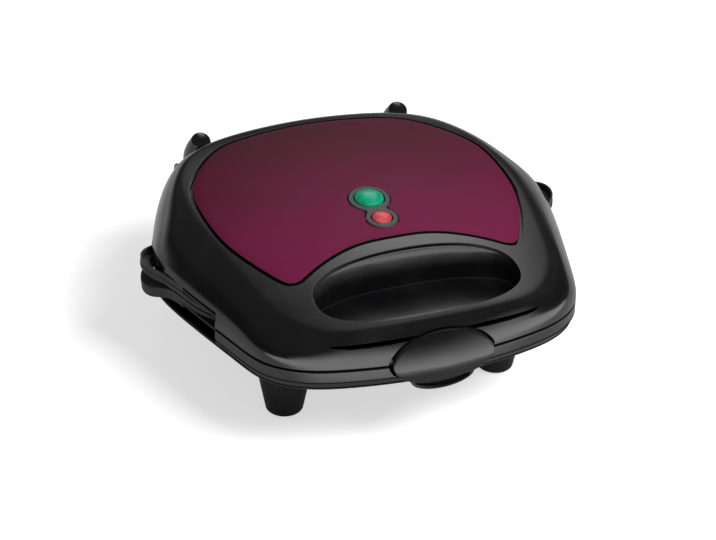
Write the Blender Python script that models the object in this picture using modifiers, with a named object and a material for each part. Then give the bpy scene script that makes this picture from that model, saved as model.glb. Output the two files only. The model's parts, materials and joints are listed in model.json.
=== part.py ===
"""Sandwich and waffle maker with a hinged lid, a front latch and lift-out cooking plates.

Metres, +Z up. The handle and latch face -Y, the hinge is at +Y, and the feet stand on z = 0.
The cooking plates meet at the parting plane, and what the two halves share is mirrored there.
"""

import math

import bmesh
import bpy
from mathutils import Matrix, Vector

NAME = "sandwich_maker"

# Casing outline, seen from above
HALF_WIDTH = 0.125
FRONT_REACH = 0.131
REAR_REACH = 0.116
RIM_shares = (
    (0.0, -1.0), (0.448, -0.951), (0.64, -0.885), (0.76, -0.779), (0.832, -0.603), (0.94, -0.252),
    (1.0, 0.034), (0.98, 0.175), (0.92, 0.362), (0.846, 0.56), (0.748, 0.742), (0.596, 0.874),
    (0.336, 0.962), (0.0, 1.0),
)
OUTLINE_STEPS = 2
CLEARANCE = 0.0003

# Heights
PARTING = 0.065
RIM_GAP = 0.001
BASE_DEPTH = 0.037
BASE_FLOOR = PARTING - BASE_DEPTH
RIM_HEIGHT = 0.012
RIM_FOOT = PARTING - RIM_HEIGHT
LID_HEADROOM = 0.0195
PEAK_BACK = 0.0284
CROWN_RADIUS = 0.568

# Lid: the soft ridge between flared skirt and crown
RIDGE_SIDE_SETBACK = 0.023
RIDGE_FRONT_SETBACK = 0.001
RIDGE_REAR_SETBACK = 0.0195
RIDGE_HALF_WIDTH = HALF_WIDTH - RIDGE_SIDE_SETBACK
RIDGE_FRONT = FRONT_REACH - RIDGE_FRONT_SETBACK
RIDGE_REAR = REAR_REACH - RIDGE_REAR_SETBACK
RIDGE_shares = (
    (0.0, -1.0), (0.51, -0.965), (0.696, -0.9), (0.804, -0.792), (0.863, -0.638), (0.951, -0.277),
    (1.0, 0.041), (0.995, 0.249), (0.961, 0.477), (0.885, 0.684), (0.774, 0.845), (0.6, 0.943),
    (0.353, 0.984), (0.0, 1.0),
)
SKIRT_shares = ((0.0, 0.0), (0.0, 0.14), (0.07, 0.34), (0.21, 0.54), (0.43, 0.74), (0.7, 0.9), (1.0, 1.0))
TOP_shares = (0.93, 0.74, 0.46)
LINING_shares = ((0.0, 0.0), (0.0, 0.14), (0.14, 0.44), (0.54, 0.81), (1.0, 1.0))
LINING_TOP_shares = (0.76, 0.5, 0.24)
WALL = 0.0024

# Base: the bowl under the rim
BOWL_SIDE_SETBACK = 0.033
BOWL_FRONT_SETBACK = 0.045
BOWL_REAR_SETBACK = 0.016
BOWL_HALF_WIDTH = HALF_WIDTH - BOWL_SIDE_SETBACK
BOWL_FRONT = FRONT_REACH - BOWL_FRONT_SETBACK
BOWL_REAR = REAR_REACH - BOWL_REAR_SETBACK
BOWL_shares = ((0.0, 0.0), (0.1, 0.06), (0.34, 0.3), (0.6, 0.56), (0.82, 0.8), (0.95, 0.96))
BOWL_LINING_shares = ((0.0, 0.0), (0.1, 0.06), (0.6, 0.56), (0.95, 0.96))
BOWL_ROUND = 0.002
RIM_ROUND = 0.0016

# Finger well behind the grip bar
WELL_SIDE_SETBACK = 0.064
WELL_HALF_WIDTH = HALF_WIDTH - WELL_SIDE_SETBACK
WELL_SETBACK = 0.039
WELL_MIDDLE = WELL_SETBACK - FRONT_REACH
WELL_BACK = 0.0235
WELL_FRONT = 0.026
WELL_SQUARENESS = 2.4
WELL_FLOOR_RISE = 0.0102
WELL_FLOOR = PARTING + WELL_FLOOR_RISE
WELL_ROUND = 0.005
WELL_LIP = 0.0035
WELL_LIP_DROP = 0.004
WELL_POINTS = 36

# Maroon insert, lamps and their bezel
TRIM_SIDE_SETBACK = 0.030
TRIM_REAR_SETBACK = 0.0275
TRIM_FRONT_SETBACK = 0.0575
TRIM_HALF_WIDTH = HALF_WIDTH - TRIM_SIDE_SETBACK
TRIM_REAR = REAR_REACH - TRIM_REAR_SETBACK
TRIM_FRONT = FRONT_REACH - TRIM_FRONT_SETBACK
TRIM_shares = (
    (0.0, -0.743), (0.284, -0.771), (0.584, -0.939), (0.667, -1.0), (0.726, -0.996), (0.785, -0.909),
    (0.937, -0.463), (0.992, -0.068), (0.995, 0.249), (0.937, 0.508), (0.684, 0.859), (0.484, 0.949),
    (0.0, 1.0),
)
TRIM_RECESS = 0.0023
TRIM_GROOVE = 0.0011
TRIM_TOP_shares = (1.0, 0.72, 0.44, 0.18)
TRIM_UNDER_shares = (1.0, 0.7, 0.35)
RED_FROM_WELL = 0.0555
LAMP_SPACING = 0.0202
RED_BACK = WELL_MIDDLE + RED_FROM_WELL
GREEN_BACK = RED_BACK + LAMP_SPACING
GREEN_RADIUS = 0.0086
RED_RADIUS = 0.0057
BEZEL_MARGIN = 0.004
BEZEL_PROUD = 0.0006
BEZEL_GROOVE = 0.0006
BEZEL_STEPS = 20
LENS_DEPTH = 0.0105
LENS_WALL = 0.0018
DOME_share = 0.34
DOME_STEPS = 4
LAMP_RADIUS = 0.0022
LAMP_LENGTH = 0.008
LAMP_SET_BACK = 0.0035
LAMP_STEPS = 12
HOLDER_THICK = 0.0018
HOLDER_WIDTH = 0.016
HOLDER_LEG = 0.003
HOLDER_SEAT = 0.0005

# Cooking plates, seen from above and in depth from the parting plane
PLATE_SIDE_LAND = 0.018
PLATE_FRONT_LAND = 0.070
PLATE_REAR_LAND = 0.016
PLATE_HALF_WIDTH = HALF_WIDTH - PLATE_SIDE_LAND
PLATE_FRONT = PLATE_FRONT_LAND - FRONT_REACH
PLATE_BACK = REAR_REACH - PLATE_REAR_LAND
PLATE_MIDDLE = (PLATE_FRONT + PLATE_BACK) / 2
PLATE_HALF_DEPTH = (PLATE_BACK - PLATE_FRONT) / 2
PLATE_FRONT_SQUARENESS = 5.0
PLATE_REAR_SQUARENESS = 3.0
PLATE_POINTS = 44
PLATE_GAP = 0.0003
PLATE_THICK = 0.003
POCKET_INNER = 0.0045
POCKET_SIDE_MARGIN = 0.0145
POCKET_FRONT_MARGIN = 0.030
POCKET_BACK_MARGIN = 0.035
POCKET_OUTER = PLATE_HALF_WIDTH - POCKET_SIDE_MARGIN
POCKET_FRONT = PLATE_FRONT + POCKET_FRONT_MARGIN
POCKET_BACK = PLATE_BACK - POCKET_BACK_MARGIN
POCKET_DEPTH = 0.0105
POCKET_CORNER = 0.014
POCKET_SLOPE = 0.006
POCKET_LAND = 0.003
POCKET_WALL = 0.002
POCKET_STEPS = 2
POST_STEPS = 10
SMALL_STEPS = 10

# Plate lugs at both sides, and the casing notches that they stand out of
EAR_OVERHANG = 0.0065
EAR_ROOT_INSET = 0.011
EAR_BEND_INSET = 0.0065
EAR_REACH = HALF_WIDTH + EAR_OVERHANG
EAR_ROOT = PLATE_HALF_WIDTH - EAR_ROOT_INSET
EAR_BEND = HALF_WIDTH - EAR_BEND_INSET
EAR_FLARE = 0.0042
EAR_MARGIN = 0.009
EAR_LENGTH = 0.090
EAR_FRONT = PLATE_FRONT + EAR_MARGIN
EAR_BACK = EAR_FRONT + EAR_LENGTH
EAR_shares = (
    (0.0, 0.0), (0.366, 0.1), (0.592, 0.333), (0.761, 0.489), (0.915, 0.556), (1.0, 0.644),
    (0.986, 0.733), (0.887, 0.811), (0.648, 0.9), (0.282, 0.978), (0.0, 1.0),
)
EAR_HOLE_shares = ((0.66, 0.81), (0.79, 0.745), (0.83, 0.665), (0.77, 0.6), (0.65, 0.55), (0.57, 0.65), (0.57, 0.75))
EAR_LIP = 0.0016
EAR_LIP_HEIGHT = 0.0038
EAR_LIP_SETBACK = 0.0003
EAR_STEPS = 2
NOTCH_FRONT_MARGIN = 0.009
NOTCH_BACK_LAP = 0.007
NOTCH_FRONT = EAR_FRONT - NOTCH_FRONT_MARGIN
NOTCH_BACK = EAR_BACK - NOTCH_BACK_LAP
NOTCH_RISE = 0.0098
NOTCH_DROP = 0.0106
NOTCH_DEPTH = 0.021
NOTCH_INNER = HALF_WIDTH - NOTCH_DEPTH

# Frames that carry the plates
FRAME_DEPTH = 0.0036
FRAME_THICK = 0.002
FRAME_CLEARANCE = 0.0013
FRAME_LEDGE = 0.005
FRAME_MOUTH_DEPTH = 0.015
FRAME_FRONT_CUT = FRAME_MOUTH_DEPTH - FRONT_REACH
FRAME_CUT_HALF = 0.037
FRONT_SCREW_shares = (0.64, -0.672)
REAR_SCREW_shares = (0.4, 0.886)
BOSS_RADIUS = 0.004
SCREW_RADIUS = 0.0015
SCREW_HEAD = 0.003
SCREW_HEAD_HEIGHT = 0.0016
SCREW_LENGTH = 0.009
TONGUE_HALF = 0.012
TONGUE_REACH = 0.0035
TONGUE_THICK = 0.001
TONGUE_BODY = 0.009
STEP_CLEARANCE = 0.0005

# Sliding clip at the front of each plate
CLIP_HALF = 0.012
CLIP_BODY = 0.013
CLIP_TRAVEL = 0.004
CLIP_NECK_HALF = 0.004
CLIP_NECK_LENGTH = 0.005
CLIP_KEEPER_HALF = 0.0075
CLIP_KEEPER_LENGTH = 0.009
CLIP_KEEPER_THICK = 0.0012
CLIP_GRIP_DEPTH = 0.0008
CLIP_GRIP_WIDTH = 0.0014
CLIP_GRIPS = 3

# Heating, in depth from the parting plane
PAN_FLANGE = 0.0006
PAN_THICK = 0.0008
PAN_FLOOR_share = 0.91
ELEMENT_RADIUS = 0.0032
ELEMENT_ROOM = 0.0025
ELEMENT_INSET = 0.0135
ELEMENT_MARGIN = 0.007
ELEMENT_HALF_WIDTH = POCKET_OUTER - ELEMENT_INSET
ELEMENT_FRONT = POCKET_FRONT - ELEMENT_MARGIN
ELEMENT_BACK = POCKET_BACK + ELEMENT_MARGIN
ELEMENT_TERMINAL = 0.013
ELEMENT_CORNER = 0.016
ELEMENT_TAIL_CORNER = 0.0045
ELEMENT_TAIL = 0.0115
ELEMENT_HOLE = 0.0042
ELEMENT_SIDES = 2
ELEMENT_CORNER_STEPS = 4
SADDLE_LENGTH = 0.012
SADDLE_HALF = 0.006
POST_RADIUS = 0.004
POST_INSET = 0.047
POST_FRONT_INSET = 0.031
POST_BACK_INSET = 0.034
POST_SPREAD = PLATE_HALF_WIDTH - POST_INSET
POST_FRONT = PLATE_FRONT + POST_FRONT_INSET
POST_BACK = PLATE_BACK - POST_BACK_INSET

# The pan clears the element, and the lid's crown clears the pan
PAN_DEPTH = PLATE_GAP + POCKET_DEPTH + POCKET_WALL + CLEARANCE + 2 * ELEMENT_RADIUS + ELEMENT_ROOM
PEAK_HEIGHT = PARTING + PAN_DEPTH + LID_HEADROOM

# Small electrical pieces
THERMOSTAT_RADIUS = 0.009
THERMOSTAT_HEIGHT = 0.005
THERMOSTAT_PLACE = (0.030, 0.040)
FUSE_RADIUS = 0.002
FUSE_LENGTH = 0.013
FUSE_SEAT = 0.003
FUSE_LEAD = 0.0004
FUSE_PLACE = (0.030, 0.020)
BLOCK_SIZE = (0.030, 0.014, 0.008)
BLOCK_FROM_TAILS = 0.018
BLOCK_BACK = ELEMENT_BACK - BLOCK_FROM_TAILS
BLOCK_HOLE = 0.0018
BLOCK_HOLE_DEPTH = 0.005
BLOCK_SPACING = 0.008

# Hinge at the back
HINGE_INSET = 0.059
HINGE_SPREAD = HALF_WIDTH - HINGE_INSET
HINGE_OVERHANG = 0.0035
HINGE_HEIGHT = PARTING
KNUCKLE_RADIUS = 0.0066
KNUCKLE_WIDTH = 0.0144
CHEEK_THICK = 0.003
CHEEK_GAP = 0.0004
HINGE_PIN_RADIUS = 0.002
HINGE_PIN_HEAD = 0.0036
HINGE_PIN_HEAD_THICK = 0.0012
LUG_DEPTH = 0.015
LUG_HEIGHT = 0.010
LUG_DROP = 0.007
LUG_ROOT = REAR_REACH - LUG_DEPTH
LUG_TOP = PARTING - LUG_DROP
LUG_FOOT = LUG_TOP - LUG_HEIGHT
LUG_BRIDGE = 0.0125
LUG_ARC_START = -math.pi / 4
LUG_ARC_STEPS = 9
PEG_TIP_SETBACK = 0.0156
PEG_TIP_SINK = 0.0019
PEG_TIP_BACK = REAR_REACH - PEG_TIP_SETBACK
PEG_TIP_RADIUS = 0.0062
PEG_RADIUS = 0.0068
PEG_shares = ((0.0, 0.0), (0.2, 0.24), (0.45, 0.52), (0.72, 0.76), (1.0, 1.0))
PEG_SIDES = 3
PEG_TIP_STEPS = 14

# Catch in the base, and the latch at the front
CATCH_SETBACK = 0.0072
CATCH_DROP = 0.006
CATCH_FRONT = CATCH_SETBACK - FRONT_REACH
CATCH_BOTTOM = PARTING - CATCH_DROP
LATCH_HALF_WIDTH = 0.030
LATCH_HALF_HEIGHT = 0.0152
LATCH_RISE = 0.0008
LATCH_MIDDLE = PARTING + LATCH_RISE
LATCH_GAP = 0.0012
LATCH_THICK = 0.0028
LATCH_PROUD = 0.0008
LATCH_FACE = -FRONT_REACH - LATCH_PROUD
LATCH_BULGE = 0.0030
LATCH_BULGE_DROP = 0.0015
LATCH_BULGE_HEIGHT = PARTING - LATCH_BULGE_DROP
LATCH_RISE_POWER = 1.3
LATCH_FALL_POWER = 2
LATCH_TOP_SETBACK = 0.0042
LATCH_CURVE_RADIUS = 0.230
LATCH_RING_shares = (1.0, 0.9, 0.7, 0.38)
LATCH_BACK_shares = (1.0, 0.7, 0.38)
LATCH_POINTS = 32
LATCH_PIVOT_SETBACK = 0.0055
LATCH_PIVOT_RISE = 0.0085
LATCH_PIVOT_Y = LATCH_PIVOT_SETBACK - FRONT_REACH
LATCH_PIVOT_Z = PARTING + LATCH_PIVOT_RISE
LATCH_BARREL_RADIUS = 0.0028
LATCH_BARREL_HALF = 0.009
LATCH_PIN_RADIUS = 0.0009
LATCH_CHEEK_INNER = 0.0135
LATCH_CHEEK_THICK = 0.003
LATCH_CHEEK_RADIUS = 0.0019
CHEEK_STEPS = 8
LATCH_HOOK_HALF = 0.010
LATCH_HOOK_BACK = 0.0032
LATCH_HOOK_REACH = CATCH_FRONT + LATCH_HOOK_BACK
LATCH_HOOK_TOP = CATCH_BOTTOM - CLEARANCE
LATCH_HOOK_THICK = 0.003
LATCH_LIP_HALF = 0.019
LATCH_LIP_DROP = 0.0105
LATCH_LIP_HEIGHT = 0.0087
LATCH_LIP_PROUD = 0.0002
LATCH_LIP_TOP = PARTING - LATCH_LIP_DROP
LATCH_LIP_BOTTOM = LATCH_LIP_TOP - LATCH_LIP_HEIGHT
LATCH_LIP_FRONT = -FRONT_REACH - LATCH_LIP_PROUD
LATCH_LIP_THICK = 0.0026
LATCH_LIP_POINTS = 16
LATCH_LIP_share = 0.92
CATCH_HALF = 0.015
CATCH_THICK = 0.003
NICHE_DEPTH = 0.0115
NICHE_BACK = NICHE_DEPTH - FRONT_REACH
NICHE_HALF = 0.0345
WINDOW_SETBACK = 0.0073
WINDOW_DEPTH = WINDOW_SETBACK - FRONT_REACH
SPRING_RADIUS = 0.0017
SPRING_WIRE = 0.0003
SPRING_TURNS = 3
SPRING_TURN_POINTS = 8

# Feet
FOOT_SIDE_INSET = 0.0248
FOOT_FRONT_INSET = 0.0272
FOOT_REAR_INSET = 0.024
FOOT_SPREAD = BOWL_HALF_WIDTH - FOOT_SIDE_INSET
FOOT_FRONT = FOOT_FRONT_INSET - BOWL_FRONT
FOOT_REAR = BOWL_REAR - FOOT_REAR_INSET
FOOT_RADIUS = 0.0112
FOOT_TOP_RADIUS = 0.0192
FOOT_LAP = 0.017
FOOT_TOP = BASE_FLOOR + FOOT_LAP
FOOT_ROUND = 0.0022
FOOT_ROUND_share = 0.3
FOOT_STEPS = 20
PAD_RADIUS = 0.0075
PAD_THICK = 0.002
PAD_PROUD = 0.0006
FOOT_SCREW_RADIUS = 0.0017
FOOT_SCREW_HEAD = 0.0034
FOOT_SCREW_RISE = 0.010
FOOT_SCREW_END = 0.0085
FOOT_BOSS_RADIUS = 0.0045

# Openings in the base
CORD_DROP = 0.0105
CORD_HEIGHT = PARTING - CORD_DROP
CORD_BORE = 0.0030
CORD_NECK = 0.0042
CORD_FLANGE = 0.0054
CORD_FLANGE_THICK = 0.0018
CORD_SEAT = 0.007
VENT_LENGTH = 0.026
VENT_WIDTH = 0.0026
VENT_PITCH = 0.0075
VENT_COUNT = 6

OVERRUN = 0.005
MERGE = 0.00001
ROUND_STEPS = 20

BLACK = ("gloss_black", (0.012, 0.012, 0.014), 0.18, 0.0)
DARK = ("dark_plastic", (0.03, 0.03, 0.032), 0.4, 0.0)
MAROON = ("maroon_insert", (0.13, 0.015, 0.05), 0.35, 0.0)
GREY = ("grey_bezel", (0.09, 0.10, 0.095), 0.4, 0.0)
GREEN = ("green_lens", (0.01, 0.36, 0.20), 0.12, 0.0)
RED = ("red_lens", (0.65, 0.10, 0.11), 0.12, 0.0)
LAMP_GLASS = ("lamp_glass", (0.85, 0.5, 0.3), 0.1, 0.0)
COATED = ("coated_plate", (0.02, 0.02, 0.021), 0.55, 0.3)
HEATPROOF = ("heatproof_plastic", (0.025, 0.025, 0.026), 0.5, 0.0)
ALUMINIUM = ("aluminium_sheet", (0.75, 0.76, 0.78), 0.35, 1.0)
STEEL = ("bright_steel", (0.6, 0.6, 0.61), 0.28, 1.0)
SHEATH = ("element_sheath", (0.35, 0.34, 0.33), 0.4, 1.0)
CERAMIC = ("ceramic", (0.85, 0.84, 0.8), 0.5, 0.0)
RUBBER = ("rubber", (0.02, 0.02, 0.02), 0.8, 0.0)


def clear_scene():
    for obj in list(bpy.data.objects):
        bpy.data.objects.remove(obj)


def new_collection(name):
    found = bpy.data.collections.new(name)
    bpy.context.scene.collection.children.link(found)
    return found


def finish_of(finish):
    name, colour, roughness, metallic = finish
    found = bpy.data.materials.get(name)
    if found:
        return found
    found = bpy.data.materials.new(name)
    found.use_nodes = True
    shader = found.node_tree.nodes["Principled BSDF"]
    shader.inputs["Base Color"].default_value = (*colour, 1.0)
    shader.inputs["Roughness"].default_value = roughness
    shader.inputs["Metallic"].default_value = metallic
    return found


class Kit:
    """The collections and pivots that the pieces go into."""

    def __init__(self):
        self.parts = new_collection(NAME)
        self.cutters = new_collection(NAME + "_cutters")
        self.pivots = {}

    def pivot(self, name, place, parent=None):
        empty = bpy.data.objects.new(name, None)
        empty.location = place
        self.parts.objects.link(empty)
        if parent:
            empty.parent = self.pivots[parent]
            empty.matrix_parent_inverse = Matrix.Translation(-Vector(empty.parent.location))
        self.pivots[name] = empty

    def keep(self, obj, finish, pivot=None):
        """Makes the object a piece of the product, turning about its pivot."""
        for collection in list(obj.users_collection):
            collection.objects.unlink(obj)
        self.parts.objects.link(obj)
        obj.hide_render = False
        obj.display_type = "TEXTURED"
        obj.data.materials.clear()
        obj.data.materials.append(finish_of(finish))
        if pivot:
            obj.parent = self.pivots[pivot]
            obj.matrix_parent_inverse = Matrix.Translation(-Vector(obj.parent.location))
        return obj

    def solid(self, name, mesh):
        """A new object, a cutter until keep() makes it a piece."""
        obj = bpy.data.objects.new(name, mesh)
        self.cutters.objects.link(obj)
        obj.hide_render = True
        obj.display_type = "WIRE"
        return obj

    def from_bmesh(self, name, bm):
        mesh = bpy.data.meshes.new(name)
        bmesh.ops.recalc_face_normals(bm, faces=bm.faces)
        bm.to_mesh(mesh)
        bm.free()
        return self.solid(name, mesh)

    def boolean(self, obj, other, operation):
        modifier = obj.modifiers.new(operation.lower() + "_" + other.name, "BOOLEAN")
        modifier.operation = operation
        modifier.object = other
        modifier.solver = "EXACT"
        return obj

    def cut(self, obj, *others):
        for other in others:
            self.boolean(obj, other, "DIFFERENCE")
        return obj

    def join(self, obj, *others):
        for other in others:
            self.boolean(obj, other, "UNION")
        return obj

    def loft(self, name, rings, start=None, end=None):
        """A closed solid through rings of as many points, with a fan at each end.

        The diagonals mirror from the first half of each ring to the second. The fans meet at
        start and end, or in the middle of their rings.
        """
        bm = bmesh.new()
        rows = [[bm.verts.new(point) for point in ring] for ring in rings]
        count = len(rows[0])
        for low, high in zip(rows, rows[1:]):
            for i in range(count):
                j = (i + 1) % count
                if i < count / 2:
                    bm.faces.new((low[i], low[j], high[j]))
                    bm.faces.new((low[i], high[j], high[i]))
                else:
                    bm.faces.new((low[i], low[j], high[i]))
                    bm.faces.new((low[j], high[j], high[i]))
        for row, tip in ((rows[0], start), (rows[-1], end)):
            middle = bm.verts.new(tip or sum((vert.co for vert in row), Vector()) / count)
            for i in range(count):
                bm.faces.new((row[i], row[(i + 1) % count], middle))
        return self.from_bmesh(name, bm)

    def box(self, name, low, high):
        bm = bmesh.new()
        bmesh.ops.create_cube(bm, size=1.0)
        low, high = Vector(low), Vector(high)
        size = high - low
        bmesh.ops.scale(bm, vec=size, verts=bm.verts)
        bmesh.ops.translate(bm, vec=(low + high) / 2, verts=bm.verts)
        return self.from_bmesh(name, bm)

    def rod(self, name, start, end, radius, steps=ROUND_STEPS, end_radius=None):
        """A round bar or cone from one point to another."""
        start, end = Vector(start), Vector(end)
        along = end - start
        turn = along.to_track_quat("Z", "X").to_matrix().to_4x4()
        bm = bmesh.new()
        bmesh.ops.create_cone(
            bm,
            cap_ends=True,
            segments=steps,
            radius1=radius,
            radius2=radius if end_radius is None else end_radius,
            depth=along.length,
            matrix=Matrix.Translation((start + end) / 2) @ turn,
        )
        return self.from_bmesh(name, bm)

    def curve_mesh(self, name, curve, place):
        """The curve as a mesh with its caps welded, moved to its place."""
        guide = bpy.data.objects.new(name + "_guide", curve)
        self.cutters.objects.link(guide)
        graph = bpy.context.evaluated_depsgraph_get()
        mesh = bpy.data.meshes.new_from_object(guide.evaluated_get(graph))
        bpy.data.objects.remove(guide)
        bm = bmesh.new()
        bm.from_mesh(mesh)
        bpy.data.meshes.remove(mesh)
        bmesh.ops.remove_doubles(bm, verts=bm.verts, dist=MERGE)
        bmesh.ops.transform(bm, matrix=place, verts=bm.verts)
        return self.from_bmesh(name, bm)

    def slab(self, name, outlines, low, high, turn=None):
        """A flat outline, with holes if there are more, between two heights."""
        curve = bpy.data.curves.new(name, "CURVE")
        curve.dimensions = "2D"
        curve.fill_mode = "BOTH"
        curve.extrude = (high - low) / 2
        for outline in outlines:
            spline = curve.splines.new("POLY")
            spline.points.add(len(outline) - 1)
            for point, place in zip(spline.points, outline):
                point.co = (place[0], place[1], 0.0, 1.0)
            spline.use_cyclic_u = True
        lift = Matrix.Translation((0.0, 0.0, (low + high) / 2))
        return self.curve_mesh(name, curve, (turn or Matrix()) @ lift)

    def side_slab(self, name, outline, left, right, place=Matrix()):
        """An outline in Y and Z between two places along X."""
        turn = Matrix(((0, 0, 1, 0), (1, 0, 0, 0), (0, 1, 0, 0), (0, 0, 0, 1)))
        return self.slab(name, [outline], left, right, place @ turn)

    def front_slab(self, name, outline, front, back):
        """An outline in X and Z between two places along Y."""
        turn = Matrix(((1, 0, 0, 0), (0, 0, -1, 0), (0, 1, 0, 0), (0, 0, 0, 1)))
        return self.slab(name, [outline], -back, -front, turn)

    def tube(self, name, points, radius, sides, scales=None):
        curve = bpy.data.curves.new(name, "CURVE")
        curve.dimensions = "3D"
        curve.bevel_depth = radius
        curve.bevel_resolution = sides
        curve.use_fill_caps = True
        spline = curve.splines.new("POLY")
        spline.points.add(len(points) - 1)
        for i, (point, place) in enumerate(zip(spline.points, points)):
            point.co = (*place, 1.0)
            point.radius = scales[i] if scales else 1.0
        return self.curve_mesh(name, curve, Matrix())

    def turned(self, name, profile, steps=ROUND_STEPS, closed=False, place=Matrix()):
        """A profile of radius and height, running down its outer side, turned about its own Z."""
        mesh = bpy.data.meshes.new(name)
        edges = [(i, i + 1) for i in range(len(profile) - 1)]
        if closed:
            edges.append((len(profile) - 1, 0))
        mesh.from_pydata([(radius, 0.0, height) for radius, height in profile], edges, [])
        obj = self.solid(name, mesh)
        obj.matrix_world = place
        screw = obj.modifiers.new("turn", "SCREW")
        screw.steps = steps
        screw.render_steps = steps
        screw.use_merge_vertices = True
        screw.merge_threshold = MERGE
        screw.use_smooth_shade = True
        return obj


def closed_spline(points, steps=OUTLINE_STEPS):
    """A smooth closed loop through the points, with so many steps for each."""
    found = []
    count = len(points)
    for i in range(count):
        before, here, there, after = (Vector(points[(i + k) % count]) for k in (-1, 0, 1, 2))
        for step in range(steps):
            t = step / steps
            found.append(
                0.5 * (2 * here + (there - before) * t + (2 * before - 5 * here + 4 * there - after) * t**2
                + (3 * here - before - 3 * there + after) * t**3)
            )
    return found


def symmetric_loop(shares, half_width, front, rear, steps=OUTLINE_STEPS):
    """A loop from a half table of shares that runs from the front to the back."""
    half = [(x * half_width, y * (front if y < 0 else rear)) for x, y in shares]
    return closed_spline(half + [(-x, y) for x, y in reversed(half[1:-1])], steps)


def inset(points, distance):
    """The loop moved inwards along its own normals."""
    area = sum(a.x * b.y - b.x * a.y for a, b in zip(points, points[1:] + points[:1]))
    inward = distance if area > 0 else -distance
    found = []
    for i, point in enumerate(points):
        along = (points[(i + 1) % len(points)] - points[i - 1]).normalized()
        found.append(point + inward * Vector((-along.y, along.x)))
    return found


def egg(half_width, middle, back, front, back_power, front_power, count):
    """A rounded loop whose back and front halves have their own depth and squareness."""
    found = []
    for i in range(count):
        turn = math.tau * i / count
        across, along = math.cos(turn), math.sin(turn)
        power, reach = (back_power, back) if along > 0 else (front_power, front)
        x = math.copysign(abs(across) ** (2 / power), across) * half_width
        y = middle + math.copysign(abs(along) ** (2 / power), along) * reach
        found.append(Vector((x, y)))
    return found


def crown(x, y):
    """Height of the lid's crowned top."""
    return PEAK_HEIGHT - (x**2 + (y - PEAK_BACK) ** 2) / (2 * CROWN_RADIUS)


def crown_frame(y, height=0.0):
    """A place on the crown's centre line, with Z along its normal."""
    tilt = math.atan((y - PEAK_BACK) / CROWN_RADIUS)
    return (
        Matrix.Translation((0.0, y, crown(0.0, y)))
        @ Matrix.Rotation(-tilt, 4, "X")
        @ Matrix.Translation((0.0, 0.0, height))
    )


def rim_loop():
    return symmetric_loop(RIM_shares, HALF_WIDTH, FRONT_REACH, REAR_REACH)


def ridge_loop():
    return symmetric_loop(RIDGE_shares, RIDGE_HALF_WIDTH, RIDGE_FRONT, RIDGE_REAR)


def plate_loop(grow=0.0):
    return egg(
        PLATE_HALF_WIDTH + grow,
        PLATE_MIDDLE,
        PLATE_HALF_DEPTH + grow,
        PLATE_HALF_DEPTH + grow,
        PLATE_REAR_SQUARENESS,
        PLATE_FRONT_SQUARENESS,
        PLATE_POINTS,
    )


def lid_rings(shrink, drop, below, skirt=SKIRT_shares, tops=TOP_shares):
    """Rings of the lid from its rim up to the crown, drawn in by shrink and lowered by drop."""
    bottom = PARTING + RIM_GAP / 2
    rim = inset(rim_loop(), shrink)
    ridge = inset(ridge_loop(), shrink)
    rings = [[(place.x, place.y, bottom - below) for place in rim]] if below else []
    for inward, upward in skirt:
        ring = []
        for low, high in zip(rim, ridge):
            place = low.lerp(high, inward)
            top = crown(high.x, high.y) - drop
            ring.append((place.x, place.y, bottom + (top - bottom) * upward))
        rings.append(ring)
    for share in tops:
        ring = []
        for high in ridge:
            x, y = high.x * share, PEAK_BACK + (high.y - PEAK_BACK) * share
            ring.append((x, y, crown(x, y) - drop))
        rings.append(ring)
    return rings


def base_rings(shrink, floor, top, shares=BOWL_shares):
    """Rings of the base from its floor up to its rim."""
    rim = inset(rim_loop(), shrink)
    bowl = inset(symmetric_loop(RIM_shares, BOWL_HALF_WIDTH, BOWL_FRONT, BOWL_REAR), shrink)
    rise = RIM_FOOT - BASE_FLOOR
    foot = inset(bowl, BOWL_ROUND)
    rings = [[(place.x, place.y, floor) for place in foot]]
    for outward, upward in shares[1:]:
        height = floor + rise * upward
        places = [low.lerp(high, outward) for low, high in zip(bowl, rim)]
        rings.append([(place.x, place.y, height) for place in places])
    rounded = inset(rim, RIM_ROUND)
    rings.append([(place.x, place.y, floor + rise) for place in rounded])
    rings.append([(place.x, place.y, floor + rise + RIM_ROUND) for place in rim])
    rings.append([(place.x, place.y, top) for place in rim])
    return rings


def well_rings(grow, floor, above):
    """Rings of the finger well, with a rounded foot and a lip that opens at the back."""
    levels = (
        (-WELL_ROUND, floor),
        (-WELL_ROUND / 4, floor + WELL_ROUND / 4),
        (0.0, floor + WELL_ROUND),
    )
    rings = [[(*place, height) for place in well_loop(grow + wider, 0.0)] for wider, height in levels]
    for lip, drop in ((0.0, WELL_LIP_DROP), (WELL_LIP / 3, WELL_LIP_DROP / 3), (WELL_LIP, 0.0)):
        loop = well_loop(grow, 0.0 if grow else lip)
        rings.append([(*place, crown(*place) - drop) for place in loop])
    rings.append([(*place, crown(*place) + above) for place in loop])
    return rings


def well_loop(grow, lip):
    return egg(
        WELL_HALF_WIDTH + grow,
        WELL_MIDDLE,
        WELL_BACK + grow + lip,
        WELL_FRONT + grow,
        WELL_SQUARENESS,
        WELL_SQUARENESS,
        WELL_POINTS,
    )


def crowned_slab(kit, name, loop, low, high):
    """A slab that follows the crown between two offsets from it."""
    middle = Vector((0.0, PEAK_BACK / 2))
    rings = []
    for offset, shares in ((low, TRIM_UNDER_shares[::-1]), (high, TRIM_TOP_shares)):
        for share in shares:
            places = [middle.lerp(point, share) for point in loop]
            rings.append([(place.x, place.y, crown(place.x, place.y) + offset) for place in places])
    start, end = ((*middle, crown(*middle) + offset) for offset in (low, high))
    return kit.loft(name, rings, start, end)


def both_sides(spread):
    return (("left", -spread), ("right", spread))


def mirrored_height(half, depth):
    """Height of a depth from the parting plane, on the upper or the lower half."""
    return PARTING + depth if half == "upper" else PARTING - depth


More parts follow.
